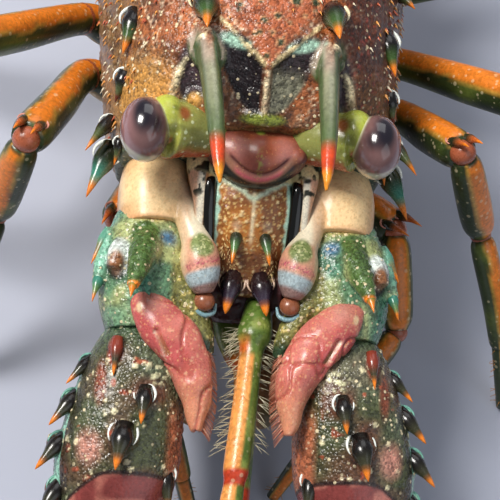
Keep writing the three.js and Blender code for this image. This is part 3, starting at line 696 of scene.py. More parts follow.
# Head plate, bridge and eyes
def head_plate():
    rows = [(0, -15, -4, 8.4, 12.5, 13), (0, -7, -5, 8.2, 11.4, 13), (0, -1, -6, 7.2, 8, 11),
            (0, 3.4, -7, 6, 4.8, 8), (0, 6, -8, 4.8, 3.2, 5)]
    forms = [loft(1, rows, sides=56, power=3)]
    for side in (-1, 1):
        forms.append(loft(side, [(8.2, -13, 4.4, 3), (8.4, -9.6, 4.6, 2.5), (8.5, -4, 3.4, 1.1),
                                 (8.3, 1.5, 0.2, 0.8)], sides=20))
        forms.append(loft(side, [(2.1, 2.4, -3.6, 1.5), (2.4, 4.8, -4.2, 2), (2.7, 7, -4.9, 1.5)],
                          sides=16))
        forms.append(loft(side, [(6, 1.4, -5, 1.8, 3), (5.4, 5.4, -7, 1.9, 3), (4.6, 7.6, -8.4, 1.4, 2)],
                          sides=16))

    forms.append(loft(1, [(0, 0, -10.6, 6.4, 4), (0, 6.4, -11, 6, 3.4), (0, 9, -12, 4.4, 2.4)], sides=40))

    def lift(p, n):
        x, f = np.abs(p[:, 0]), -p[:, 1]
        face = step(0.2, 0.5, n[:, 2])
        rise = 0.24 * granules(p, 0.95, 0.45, 5) * face * step(6.2, 5.4, x)
        rise += 0.35 * trail(p, [(0, -6.4, 6.1), (0, 3, -1.8)], 0.5) * face
        rise += 0.4 * step(0.5, 0.1, np.abs(x - 5.9)) * face * step(-8.5, -7, f)
        rise -= 1.2 * step(0.9, 0.5, np.abs(x - 7)) * face * step(-8.8, -7.8, f)
        return rise

    def tint(p, n, form):
        x, f, z = mirrored(p).T
        face = step(0.1, 0.4, n[:, 2])
        specks = granules(p, 0.95, 0.45, 5)
        coat = Coat(p, 0x8A5226)
        coat.over(0xB4702E, step(-0.3, 0.4, noise(p, 3)))
        fine = granules(p, 0.55, 0.5, 44)
        coat.over(0xF0CC80, 0.6 * step(0.3, 0.7, fine) * face)
        coat.over(0x5A3620, step(-1, 3, f) * 0.6)
        coat.over(0xF0D8A0, 0.75 * step(0.35, 0.8, specks) * face)
        coat.over(0xC0B49C, 0.7 * blob(p, (2.4, -2.4, 3), (1, 1.2, 1), 0.5))
        coat.over(MINT, step(0.6, 0.2, np.abs(x - 5.9) + 0.35 * noise(p, 0.8)) * face)
        line = bell(x + 0.1 * noise(p, 0.7), 0.3) * step(-6.6, -6, f) * step(1.5, -1, f)
        coat.over(CREAM, 0.9 * line * face)
        arms = bell(f + 5.2 + 0.62 * x + 0.2 * noise(p, 0.9), 0.42) * step(6.4, 5.8, x)
        coat.over(0xD8E8C8, 0.95 * arms * face)
        coat.over(BLACK, step(1.05, 0.75, np.abs(x - 7)) * step(-8.8, -8.2, f) * face)
        rim = step(7.9, 8.3, x) * step(-3, -1, z + 0.35 * f) * face
        coat.over(0xF2E8D0, rim)
        coat.over(0xD8A888, rim * step(8.9, 9.6, x))
        coat.over(0x20200C, rim * step(0.12, 0.26, noise(p, 0.9, 17)) * step(-4.5, -6.5, f))
        skin = step(-8.4, -9.2, f + 0.25 * np.maximum(x - 6, 0)) * step(4, 5, x) * step(-1, 3, z)
        coat.over(0xE8D8A0, skin)
        leopard = step(0.1, 0.25, noise(p, 0.9, 17)) * skin
        coat.over(0x20200C, leopard)
        coat.over(MAROON * 0.6, step(3.4, 5, f) * step(0.5, 1.5, x))
        coat.over(MAROON * 0.6, step(-5.4, -6.4, z) * step(2, 3.4, f))
        # Painted shade: faces turned downwards, apart from the spotted skin, are painted dark brown.
        coat.over(0x2C1812, step(0.1, -0.3, n[:, 2]) * (1 - skin))
        groove = step(0.9, 0.6, np.abs(x - 7)) * face
        return coat.colour, masks(p, 0, 0.6 * (1 - groove), groove)

    dress("head_plate", "shell", fused(forms, voxel=0.26, rounds=3), SMOOTH, tint, lift)
    thorns = Thorns()
    for side in (-1, 1):
        thorns.add(side, (2.3, -0.9, 1.9), (3.1, 4.8, 2.4), 1.0, base=0x2A3020, middle=0x5E8450,
                   rim=CREAM, bulge=0.55)
        thorns.add(side, (2.4, 5.4, -3.2), (3.4, 11.2, -3.2), 1.8, base=PURPLE, middle=0x3A3040,
                   rim=0xC8A890, bulge=0.5)
        track = loft(side, [(7.3, -9.4, 5.2, 0.9, 0.7), (7.3, -7.8, 5.7, 1.1, 0.9),
                            (7.2, -3.6, 3.6, 1.1, 0.9),
                            (6.9, 0.6, 0.6, 1, 0.8), (6.8, 2.2, -1, 0.6, 0.5)], sides=24)
        thorns.take(track, 0x0C0B08, 0, 1)
    for _ in range(PLATE_HAIRS):
        side, ahead = rng.choice((-1, 1)), rng.uniform(-1, 4.5)
        root = np.array([rng.uniform(0.3, 4.6), ahead, np.interp(ahead, (-1, 3.4, 6), (2.1, -2.3, -4.6))
                         - 0.1])
        thorns.hair(side, root, root + [rng.uniform(-0.3, 0.3), 0.9, 0.5], 0.1, 0xE8CC90)
    thorns.build("head_plate_spines")


def eye_bridge():
    rows = [(-7.2, -13.4, 10, 2.6), (-4.4, -12.2, 9.4, 4.1), (0, -11.2, 9, 5, 4.9), (4.4, -12.2, 9.4, 4.1),
            (7.2, -13.4, 10, 2.6)]
    forms = [loft(1, rows, sides=48, steps=10, hint=(0, -1, 0))]
    forms.append(ball((6.2, -10.6, 11.4), (1.7, 1.6, 1.5)))

    def lift(p, n):
        x, f, z = p[:, 0], -p[:, 1], p[:, 2]
        smile = bell(z - 11.2 - 0.055 * x**2, 0.5) * step(5.6, 4.6, np.abs(x)) * step(-10, -8, f)
        return -0.5 * smile + 0.35 * blob(p, (0, -10.5, 12.6), (1.2, 2.5, 1.6), 0.8)

    def tint(p, n, form):
        x, f, z = p[:, 0], -p[:, 1], p[:, 2]
        coat = Coat(p, 0x984E34)
        coat.over(0x8A4A40, step(0.0, 0.6, noise(p, 2.5)) * 0.7)
        coat.over(0x6A3028, step(1.6, 0.6, np.abs(x)) * 0.5)
        coat.over(0xC8847A, 0.8 * blob(p, (4, -10.6, 12), (1.8, 2.2, 2), 0.7))
        low = step(0.3, -0.6, z - 11.2 - 0.055 * x**2) * step(-11, -9, f)
        coat.over(0xA07058, low)
        smile = bell(z - 11.2 - 0.055 * x**2, 0.3) * step(5.6, 4.4, np.abs(x)) * step(-10.5, -9, f)
        # Painted shade: a dark red-brown line is painted along the smile fold.
        coat.over(0x5C2020, smile)
        pink = 0.8 * bell(z - 10.3 - 0.05 * x**2, 0.4) * step(4.4, 3.2, np.abs(x)) * step(-10, -8, f)
        coat.over(0xD86070, pink)
        coat.over(0x10121A, step(9.9, 9.2, z - 0.06 * x**2))
        line = bell(x, 0.45) * step(9.6, 10.2, z) * step(14.2, 13.6, z)
        coat.over(0x8A8A40, 0.8 * line * step(0, 0.6, granules(p, 0.5, 0.6, 2)))
        coat.over(YELLOW_GREEN, blob(p, (0, -13.6, 13.5), (0.7, 0.7, 0.8), 0.4))
        coat.over(0xD83420, step(-15.2, -15.8, f) * step(11, 12, z))
        coat.over(0x7A3A30, step(5, 6.4, np.abs(x)) * 0.6)
        return coat.colour, masks(p, 0.25 + 0 * x, 0.25, 0.3)

    dress("eye_bridge", "skin", fused(forms, voxel=0.25, rounds=4), SKIN, tint, lift)


LOBE = (15.2, -13.9, 14.9)
LOBE_RADII = (3.2, 3.9, 3.3)


def lobe_distance(p):
    q = mirrored(p) - np.array(LOBE)
    return (np.linalg.norm(q / np.array(LOBE_RADII), axis=1) - 1) * min(LOBE_RADII)


def eyes():
    def stalk_tint(p, n, form):
        x, f, z = mirrored(p).T
        coat = Coat(p, 0xA0A054)
        coat.over(0xB8C04C, step(11.5, 16, x + 1.4 * noise(p, 2)))
        coat.over(0x6A6C34, 0.6 * step(0.1, 0.6, noise(p, 1.4, 42)))
        coat.over(0x767A40, 0.6 * step(11.5, 9, x))
        coat.over(0x9C5A30, blob(p, (12.6, -13.6, 17), (1, 1.3, 1), 0.5))
        coat.over(0xB04428, step(0.35, -0.1, n[:, 2]) * 0.9)
        coat.over(0xC8704A, step(-9.9, -9.2, f) * step(12, 9, z) * 0.8)
        return coat.colour, masks(p, 0.75 * step(16, 12, x), 0.2, 0.3)

    def eye_tint(p, n, form):
        x, f, z = mirrored(p).T
        coat = Coat(p, 0x7C5A58)
        coat.over(0x9C7274, step(19.2, 22, x) * 0.7)
        coat.over(0x1A1420, blob(p, (19, -11.6, 19.4), (1.7, 3.4, 1.6), 0.5))
        coat.over(0x1A1420, 0.85 * blob(p, (17.2, -10.2, 18.8), (1.3, 1.6, 1.4), 0.6))
        edge = bell(np.maximum(lobe_distance(p) - 0.1, 0), 0.28)
        coat.over(0xD8D4B0, edge)
        ring = step(14.2, 13.4, z - 0.25 * (x - EYE[0]) - 0.3 * (f - EYE[1]))
        coat.over(0xC8C0A8, ring)
        return coat.colour, masks(p, 0, 0.3, 0.7)

    for label, side in (("left", 1), ("right", -1)):
        rows = [(6, -13.6, 9.6, 2.8), (9.5, -14, 11, 4.1), (12.6, -13.8, 12.2, 4.6),
                (15.4, -12.9, 13.4, 5, 4.6)]
        forms = [loft(side, rows, sides=40, hint=(0, -1, 0)),
                 ball((side * LOBE[0], LOBE[1], LOBE[2]), LOBE_RADII)]

        dress(f"eyestalk_{label}", "shell", fused(forms, voxel=0.25, rounds=4), STALK,
              stalk_tint)

        dress(f"eye_{label}", "cornea", ball((side * EYE[0], EYE[1], EYE[2]), EYE_RADII, 96),
              GLASSY, eye_tint)


# The big feelers
CARPUS_END = (27.4, 55.6, -11)
WHIP = [CARPUS_END, (43, 77, 2), (80, 94, 22), (122, 75, 42), (149, 24, 56), (158, -40, 60)]
WHIP_ROOT = 3.4
WHIP_TIP = 0.5
WHIP_SPLIT = 14 / 30
WHIP_STATIONS = 280


def feeler_base(label, side):
    forms = [
        loft(side, [(15.4, -16, -5, 5.6, 7), (15.6, -10, -4.5, 6.4, 8.8, 8), (15.4, -3, -4.8, 6, 7.8, 7)],
             sides=48, power=2.6),
        loft(side, [(12, -9, 0.8, 2.4), (10.2, -3, 1.4, 2.2), (8.9, 0.4, 1.1, 2.5), (8.3, 2.6, 0.9, 3.15),
                    (7.9, 5, 0.5, 3.2), (7.5, 7.2, -0.1, 2.6), (7.2, 8.9, -0.8, 1.5)], sides=40),
        ball((side * 7.4, -4.2, 1.3), (2.3, 2.9, 2.3)),
    ]

    def tint(p, n, form):
        x, f, z = mirrored(p).T
        coat = Coat(p, 0xFCD8A2)
        coat.over(0xECBC86, step(-0.2, 0.5, noise(p, 4)))
        coat.over(0xE8C8A8, step(13, 10.5, x) * 0.8)
        coat.over(0xD06A3A, step(-4, -1.5, f) * step(12, 15, x) * 0.6)
        coat.over(0xB06A34, step(1, -4, z) * 0.7)
        coat.over(0xF4E6C8, step(10.6, 9.6, x) * step(2.2, 0.2, f))
        knob = step(0.6, 1.4, f) * step(11, 10, x)
        coat.over(0xE0A888, knob)
        low = f - 0.35 * z - 0.35 * (x - 8)
        oval = blob(p, (8.0, 2.3, 3.9), (2.1, 2.3, 1.8), 0.2)
        coat.over(0x7C8A50, oval)
        coat.over(0xC8C890, oval * step(0.3, 0.7, granules(p, 0.6, 0.5, 33)))
        pink = knob * bell(low - 4.2, 0.8) * (1 - 0.7 * oval)
        coat.over(MAGENTA, pink * (0.7 + 0.3 * np.sign(granules(p, 0.4, 0.5, 34) - 0.3)))
        coat.over(SILVER, knob * step(5.0, 5.9, low))
        coat.over(0x8E5A4A, knob * step(7.6, 8.4, low) * 0.8)
        coat.over(BLACK, trail(p, [(11.5, -6.4, 4.3), (11.6, -6.1, 4.3)], 0.16))
        granular = np.maximum(oval, knob * step(3, 4, low))
        gold = step(0.25, 0.6, granules(p, 0.7, 0.5, 35)) * (1 - knob) * step(9.5, 11, x)
        coat.over(0xC89050, 0.3 * gold)
        return coat.colour, masks(p, 0.15, 0.3 + 0.7 * granular, 0.1)

    dress(f"feeler_{label}_base", "shell", fused(forms, voxel=0.27, rounds=3), SMOOTH, tint)


def feeler_ischium(label, side):
    forms = [
        loft(side, [(16, -5.5, -5.2, 6.2, 6.8), (16.6, 1, -5.4, 7.4, 7.6), (16.8, 8, -6.2, 7.4, 7),
                    (16.6, 13.4, -7.4, 6, 5.8)], sides=48, power=2.4),
        loft(side, [(13, 3.5, -2, 3), (9.6, 9.5, -3.6, 2.5), (7, 14.5, -5.2, 2), (5.6, 17.4, -6.2, 0.9)],
             sides=28),
        loft(side, [(16.2, -0.4, -0.6, 2.6), (17, 2.6, 1.6, 2.6), (18, 7, 3.8, 1.9),
                    (18.9, 11.4, 5.6, 0.9)],
             sides=28),
        loft(side, [(20.4, 1, -0.2, 1.6), (21.2, 3.4, 0.6, 1.9), (21.9, 6.4, 0.8, 1.3)], sides=20),
        loft(side, [(22.4, -2, -2.6, 1.8), (23.4, 3.4, -2.2, 1.7), (24.3, 7.6, -1.6, 1)], sides=20),
    ]

    def lift(p, n):
        face = step(0, 0.4, n[:, 2])
        return (0.22 * granules(p, 1.1, 0.45, 6) * face
                + 0.8 * trail(p, [(10.4, -1.5, 1), (9.9, 2.6, 0.6), (9, 6.5, -0.6)], 0.7))

    def tint(p, n, form):
        x, f, z = mirrored(p).T
        soft = noise(p, 3.4, 12)
        coat = Coat(p, 0x5E8462)
        coat.over(0xA0A870, step(-0.2, 0.5, soft))
        coat.over(TEAL, 0.6 * step(0.1, 0.6, noise(p, 4.4, 15)))
        coat.over(0xC8A860, 0.9 * blob(p, (15.6, -4, 2.4), (3.4, 1.8, 2), 0.6))
        coat.over(BLUE, 0.9 * blob(p, (13.4, 0.6, 2), (1.6, 1.3, 1.6), 0.7))
        coat.over(0xF0F0DC, trail(p, [(10.4, -1.5, 1.4), (9.9, 2.6, 1), (9, 6.5, -0.2)], 0.8))
        arm = step(13.2, 11.8, x) * step(3.4, 5, f)
        coat.over(0x7C7A42, arm)
        coat.over(0xE0C878, arm * step(0.3, 0.8, granules(p, 1.1, 0.45, 6)) * 0.8)
        coat.over(0x2C4A30, arm * step(14.5, 16.5, f))
        spur = trail(p, [(17.2, 0, 2.4), (18.2, 7, 4.6), (19, 11.6, 6)], 2.3, 0.2)
        coat.over(0x4C6834, spur)
        coat.over(TIP, spur * step(10.4, 11.2, f))
        socket = blob(p, (21.2, 4, 1.2), (2, 3, 2), 0.2)
        coat.over(0x1E241C, blob(p, (21.6, 5, 1), (2.3, 3.4, 2.4), 0.2))
        coat.over(0xDDE6E0, socket)
        coat.over(0x8A5A38, blob(p, (21.6, 5.4, 1.4), (1.3, 2, 1.9), 0.3))
        coat.over(0x88C8B0, 0.7 * blob(p, (24.4, 1.5, -1), (1.6, 5, 2), 0.5))
        coat.over(DARK_OLIVE, step(-2, -8, z) * 0.8)
        return coat.colour, masks(p, 0.8, 0.7, 0.25)

    dress(f"feeler_{label}_ischium", "shell", fused(forms, voxel=0.27, rounds=3), FEELER,
          tint, lift)
    thorns = Thorns()
    thorns.add(side, (18.8, 10.6, 5.2), (19.1, 13.6, 6.2), 0.8, base=0x6A7A30, middle=TIP, rim=None)
    thorns.add(side, (24.2, 7, -1.6), (25, 11.4, -1.2), 0.9, base=TEAL, middle=0x6A8A50, rim=None)
    thorns.add(side, (23.4, -1.2, -2), (25.6, 4.4, -1.8), 1, base=0x60A088, middle=0x8A7A50, rim=None)
    thorns.bead(side, (7.0, 9.9, -1.6), (1.7, 1.7, 1.5), 0x94583C)
    cup = [(8.9, 9.6, -1.7, 0.2), (8.5, 11.2, -2, 0.35), (7, 12, -2.4, 0.42), (5.4, 11.4, -2.6, 0.35),
           (5, 9.8, -2.6, 0.2)]
    thorns.take(loft(side, cup, sides=10, hint=(0, 0, 1)), 0x7FA4AC, 0.8)
    thorns.build(f"feeler_{label}_ischium_spines")


MERUS_SPINES = [
    ((20.6, 17.8, -2.4), (20.9, 23.2, -2.6), 1.0), ((15.8, 25.8, -3.5), (16.2, 30.8, -2.8), 1.35),
    ((18.8, 32, -4.9), (19.7, 37.8, -4.4), 1.8), ((25, 19.4, -7.4), (28.2, 23.4, -6.8), 1.1),
    ((27, 25.4, -8.6), (30.4, 30, -8), 1.4), ((28.6, 32, -10.4), (32, 36.6, -10), 1.4),
    ((28.2, 38.6, -12.6), (31.6, 44.6, -12), 1.5), ((11.6, 36.4, -10.6), (10.8, 43, -11), 1.3),
]


def feeler_merus(label, side):
    forms = [loft(side, [(16.4, 12.8, -8.6, 5.8, 5.8), (17, 18, -9.5, 7.8, 7.4),
                         (18.2, 26, -11.2, 9.3, 7.8),
                         (19.5, 35, -13.9, 9.9, 7.6), (20.4, 41.5, -15.6, 8, 6.4)], sides=56, power=2.3)]
    for root, tip, radius in MERUS_SPINES:
        forms.append(ball((side * root[0], root[1], root[2] - 0.6), (radius * 1.5, radius * 1.5, radius)))

    def lift(p, n):
        face = step(-0.3, 0.2, n[:, 2])
        rough = step(38, 37, -p[:, 1])
        return (0.24 * granules(p, 2.3, 0.36, 37) + 0.1 * granules(p, 0.9, 0.45, 15)) * face * rough

    def tint(p, n, form):
        x, f, _ = mirrored(p).T
        soft = noise(p, 5, 13)
        coat = Coat(p, 0x454A2E)
        coat.over(0x5E3A28, step(-0.3, 0.4, soft))
        coat.over(0x66705A, 0.6 * step(0, 0.6, noise(p, 7, 19)))
        coat.over(0xB4482C, 0.6 * step(0.62, 0.8, noise(p, 1.6, 27)))
        spots = granules(p, 2.3, 0.26, 37)
        coat.over(0xEADFB4, 0.85 * step(0.35, 0.55, spots) * step(-0.2, 0.3, n[:, 2]))
        coat.over(0x3C5C44, 0.8 * step(20, 12, f) + 0.7 * step(36, 42, f))
        coat.over(0xA03028, 0.9 * blob(p, (20.9, 19.2, -2.6), (1.1, 2, 1.5), 0.5))
        coat.over(0x8A3A28, 0.7 * blob(p, (22.8, 24, -3.6), (0.9, 3.6, 1.5), 0.5))
        coat.over(0xDCD8AC, 0.9 * blob(p, (14.2, 21.8, -3), (2.6, 2, 3), 0.5)
                  * step(0.05, 0.3, granules(p, 0.9, 0.5, 15)))
        coat.over(0xC88878, 0.8 * blob(p, (23.8, 33.6, -6.7), (1.9, 2.6, 2), 0.6))
        outer = trail(p, [(24, 20, -6.4), (25.4, 26, -6.8), (27, 33, -9), (27.4, 39, -11)], 1.2, 0.5)
        coat.over(0x241C16, outer * 0.75)
        coat.over(0x8CC8B0, step(0.2, 0.5,
                                 trail(p, [(26.4, 21, -8), (28, 30, -9.6), (28.6, 38, -12)], 1.1, 0.5))
                                 * 0.8)
        coat.over(0xB86848, step(12.5, 10.8, x) * step(24, 30, f) * 0.8)
        # Painted shade: faces turned downwards are painted dark olive.
        coat.over(DARK_OLIVE, step(0, -0.5, n[:, 2]) * 0.8)
        end = step(37.2, 38, f - 0.06 * (x - 19) ** 2 * step(19, 24, x))
        coat.over(0x7E3834, end)
        coat.over(0xC07868, end * step(0.1, 0.6, noise(p, 2.2, 28)) * 0.7)
        coat.over(0x2C1814, step(0.5, 0.1, np.abs(f - 37.4 - 0.06 * (x - 19) ** 2 * step(19, 24, x))))
        dots = 0.9 * step(-0.5, 0.1, noise(p, 4, 29)) * (1 - end)
        return coat.colour, masks(p, dots, 0.8 - 0.6 * end, 0.3)

    dress(f"feeler_{label}_merus", "shell", fused(forms, voxel=0.3, rounds=3), FEELER,
          tint, lift)
    thorns = Thorns()
    for i, (root, tip, radius) in enumerate(MERUS_SPINES):
        outer = root[0] > 24
        thorns.add(side, root, tip, radius, base=BLACK if i else 0x8A3828, middle=0x3C3C28,
                   rim=(0x6FA898 if outer else WHITE) if i else None, bulge=0.62)
    for _ in range(MERUS_HAIRS):
        ahead, across = rng.uniform(16, 41), rng.uniform(-0.9, 0.9)
        centre = np.interp(ahead, (13, 26, 41), (16.6, 18.8, 20.8))
        wide = np.interp(ahead, (13, 26, 35, 41), (5.6, 8.6, 9.2, 7.6))
        top = np.interp(ahead, (13, 26, 41), (-2.6, -4, -9.4)) - 7 * (1 - math.sqrt(1 - across**2))
        root = (centre + wide * across, ahead, top - 0.2)
        tip = (root[0] + rng.uniform(-0.4, 0.4), ahead + 1.3, top + 0.5)
        thorns.hair(side, root, tip, 0.13, 0xD86038)
    for i in range(FRINGE_HAIRS):
        share = i / (FRINGE_HAIRS - 1)
        root = (6 + 0.6 * share, 17.4 + 13 * share, -4.4 - 1.4 * share + rng.uniform(-0.3, 0.3))
        tip = (root[0] - 1.3 - 0.8 * math.sin(share * 3), root[1] + rng.uniform(1.2, 2), root[2] - 0.9)
        thorns.hair(side, root, tip, 0.1, mix(rgb(0xB05840), rgb(0xE0A888), rng.uniform()), bend=0.15)
    thorns.build(f"feeler_{label}_merus_spines")


def feeler_pad(label, side):
    forms = [loft(side, [(17.6, 9.4, -0.9, 2.1, 1.4), (14.5, 13.6, -1.3, 3.8, 2.4),
                         (10.3, 18, -2.5, 3.9, 2.8),
                         (7.9, 23.6, -4.4, 2.9, 2.8), (7.4, 30.8, -5.5, 0.9, 1.2)], sides=48, steps=8,
                  hint=(side * 0.8, -0.6, 0))]

    def lift(p, n):
        slot = trail(p, [(14.6, 16.6, 0.4), (12.6, 19.6, -1)], 0.5)
        fold = np.abs(noise(p, 4.5, 6))
        return (0.22 * noise(p, 2.4, 5) - 0.35 * step(0.16, 0, fold) - 0.7 * slot
                + 0.25 * trail(p, [(15.3, 16, 0), (13.2, 19.8, -1.4)], 0.4))

    def tint(p, n, form):
        _, f, _ = mirrored(p).T
        coat = Coat(p, PINK)
        coat.over(0xC05A58, step(-0.2, 0.6, noise(p, 4, 7)))
        coat.over(0xD89070, step(20, 29, f))
        # Painted shade: the folds are painted darker red.
        coat.over(0xB04A40, 0.6 * step(0.2, 0, np.abs(noise(p, 4.5, 6))))
        coat.over(0xF0C8A0, 0.5 * step(0.3, 0.7, granules(p, 0.8, 0.4, 36)))
        coat.over(0xC88878, 0.7 * blob(p, (15.4, 11, 1.4), (2.6, 2.6, 1.6), 0.6))
        coat.over(0xF0D8C0, trail(p, [(15.3, 16, 0), (13.2, 19.8, -1.4)], 0.35))
        coat.over(0x9A6A40, trail(p, [(14.6, 16.6, 0.4), (12.6, 19.6, -1)], 0.35))
        coat.over(0xE8C8A0, blob(p, (17.6, 12.8, 1), (0.6, 1, 0.8), 0.3))
        # Painted shade: faces turned downwards are painted darker red.
        coat.over(0x9C4A40, step(0.1, -0.5, n[:, 2]) * 0.7)
        return coat.colour, masks(p, 0.55, 0.3, 0.45)

    dress(f"feeler_{label}_pad", "skin", fused(forms, voxel=0.27, rounds=4), SKIN, tint, lift)


def feeler_carpus(label, side):
    forms = [loft(side, [(21, 41.2, -15.4, 5.4, 5), (22.2, 45, -15, 6.9, 6.1),
                         (24.6, 50.4, -13.2, 6.3, 5.9),
                         (*CARPUS_END, 4.5, 4.5)], sides=40, power=2.2)]

    def lift(p, n):
        return 0.2 * granules(p, 1.5, 0.42, 16)

    def tint(p, n, form):
        f = -p[:, 1]
        coat = Coat(p, 0x5A5A38)
        coat.over(0x7A4A30, step(-0.2, 0.5, noise(p, 4, 31)))
        coat.over(0x9C4A48, step(43.5, 42, f))
        return coat.colour, masks(p, 0.6, 0.8, 0.2)

    dress(f"feeler_{label}_carpus", "shell", fused(forms, voxel=0.35, rounds=3), FEELER,
          tint, lift)
    thorns = Thorns()
    thorns.add(side, (24.6, 46.6, -9.4), (28.2, 52.6, -6.6), 1.4)
    thorns.add(side, (27.6, 45, -13), (33.4, 48.2, -12), 1.4, base=DARK_OLIVE)
    thorns.add(side, (19.4, 46, -10), (19, 51, -8), 1.1)
    thorns.add(side, (28.6, 50, -13.6), (32.6, 54, -13), 1)
    thorns.build(f"feeler_{label}_carpus_spines")


def ringed(depth):
    """A profile for loft: every third ring of points is drawn in."""
    def profile(count, angle):
        wave = 1 - depth * (np.arange(count) % 3 == 0)
        return np.tile(wave[:, None], (1, len(angle)))
    return profile


def whip_rows(first, last, count):
    curve = smooth_rows([(*p, 0) for p in WHIP], 60)[:, :3]
    length = np.append(0, np.cumsum(np.linalg.norm(np.diff(curve, axis=0), axis=1)))
    rows = []
    for share in np.linspace(first, last, count):
        place = [np.interp(share * length[-1], length, curve[:, k]) for k in range(3)]
        rows.append([*place, WHIP_ROOT + (WHIP_TIP - WHIP_ROOT) * share**0.8])
    return rows


def feeler_whip(label, side):
    def tint(p, n, form):
        coat = Coat(p, 0x8A3C20)
        coat.over(0x4A241C, step(0, 0.5, noise(p, 9, 41)))
        # Painted light: faces turned upwards are painted lighter orange.
        coat.over(0xC87838, step(0.3, 0.9, n[:, 2]) * 0.5)
        return coat.colour, masks(p, 0, 0.4, 0.2)

    for name, first, last in (("inner", 0, WHIP_SPLIT), ("outer", WHIP_SPLIT, 1)):
        rows = whip_rows(first, last, WHIP_STATIONS)
        form = loft(side, rows, sides=14, steps=1, hint=(0, 0, 1), profile=ringed(0.09))

        dress(f"feeler_{label}_whip_{name}", "shell", form, LEG, tint)
    thorns = Thorns()
    for k in range(WHIP_HAIRS):
        share = 0.02 + 0.9 * (k / WHIP_HAIRS) ** 1.1
        x, f, z, r = whip_rows(share, share + 0.001, 2)[0]
        turn = k * 2.4
        out = np.array([math.cos(turn), 0.2, math.sin(turn)])
        root = np.array([x, f, z]) + out * r * 0.8
        tip = root + out * r * 0.45 + np.array([0.5, 0.5, 0.3]) * r * 0.4
        thorns.hair(side, root, tip, r * 0.2, 0xC86A30, sides=6)
    thorns.build(f"feeler_{label}_whip_spines")


# The small feelers
SMALL_UPPER = [
    (2.6, 6, -8.6, 2), (2.4, 10, -7.4, 2.6), (1.8, 13.6, -7, 2.9), (1.4, 16.4, -7, 2.0),
    (0.4, 26, -7.2, 2.05), (-0.7, 35.4, -7.6, 2.1), (-1, 38, -8, 1.7), (-1.5, 42, -8.6, 1.85),
    (-2, 47, -9, 1.6),
]
SMALL_LOWER = [
    (-2.6, 5, -13, 2), (-1.6, 9.4, -13.8, 2.6), (0.6, 13.6, -14.4, 2.9), (1.6, 17, -15, 2.1),
    (1.4, 26, -16.2, 2.1), (0.8, 36, -18, 2.1), (0.6, 42, -18.8, 1.9), (0.4, 47, -19, 1.6),
]


def small_feeler(label, rows, spread):
    def tint(p, n, form):
        f = -p[:, 1]
        coat = Coat(p, 0x58702E)
        coat.over(0x8A9648, step(0, 0.6, noise(p, 3, 51)))
        stripe = step(0.15, 0.4, -n[:, 0] * 0.75 + n[:, 2] * 0.55 - 0.12) * step(16.5, 18, f)
        coat.over(0xE89A50, stripe)
        coat.over(0xC86020, step(0.3, -0.5, p[:, 0] - 1) * step(13, 16, f) * step(18, 16, f))
        coat.over(0xB83C20, step(1.6, 0.8, np.abs(f - 37.4)))
        # Painted shade: faces turned downwards are painted near black.
        coat.over(0x27301C, step(0.1, -0.4, n[:, 2]))
        return coat.colour, masks(p, 0.3, 0.5, 0.3)

    dress(f"small_feeler_{label}", "shell", fused([loft(1, rows, sides=32)], voxel=0.25, rounds=2),
          LEG, tint)
    x, f, z = rows[-1][:3]
    forms = []
    for branch in (-1, 1):
        path = [(x, f - 1, z, 1.1), (x + spread * 0.3 + branch * 2.5, f + 20, z + 6, 0.9),
                (x + spread * 0.7 + branch * 6, f + 48, z + 22, 0.65),
                (x + spread + branch * 9, f + 72, z + 46, 0.4)]
        forms.append(loft(1, path, sides=10, steps=60, profile=ringed(0.12)))

    def whip_tint(p, n, form):
        bands = step(-0.2, 0.2, np.sin(p[:, 1] * 0.55))
        coat = Coat(p, 0x9A5A30)
        coat.over(0x5A6A30, bands)
        return coat.colour, masks(p, 0, 0.3, 0.2)

    dress(f"small_whips_{label}", "shell", join(forms), LEG, whip_tint)


def small_hairs():
    thorns = Thorns()
    for _ in range(SMALL_FEELER_HAIRS):
        share = rng.uniform(0, 1)
        row = smooth_rows(SMALL_UPPER, 8)[int(12 + share * 26)]
        way = 1 if rng.uniform() < 0.35 else -1
        root = np.array([row[0] + way * row[3] * 0.9, row[1], row[2] + rng.uniform(-1, 0.6)])
        tip = root + np.array([way * rng.uniform(1.4, 3), rng.uniform(0, 2.4), rng.uniform(-0.8, 0.8)])
        thorns.hair(1, root, tip, 0.07, 0xC8C0A0)
    thorns.build("small_feeler_hairs")


# Mouth legs, sternum
def mouth_legs():
    def tint(p, n, form):
        coat = Coat(p, 0x9C6A40)
        coat.over(0x6A5A30, step(-0.2, 0.5, noise(p, 4, 61)))
        return coat.colour, masks(p, 0.4, 0.5, 0.2)

    for label, side in (("left", 1), ("right", -1)):
        rows = [(5.2, -8, -20, 2.8), (6, 2, -22, 3.4, 3), (6.8, 13, -24.6, 3, 2.6), (6.6, 19, -28, 2.5),
                (5.6, 17, -33, 2.1), (4.8, 11, -35.6, 1.6), (4.4, 5, -36, 0.8)]

        dress(f"mouth_leg_{label}", "shell", fused([loft(side, rows, sides=28)], voxel=0.35, rounds=2),
              LEG, tint)
        thorns = Thorns()
        for _ in range(MOUTH_LEG_HAIRS):
            row = smooth_rows([r[:3] for r in rows], 8)[rng.integers(14, 44)]
            root = np.array(row) + [-1.6, 0, rng.uniform(-1, 1)]
            thorns.hair(side, root, root + [-rng.uniform(1, 2.6), rng.uniform(-1, 1.4), -0.6], 0.08,
                        0xB89868)
        thorns.build(f"mouth_leg_{label}_hairs")


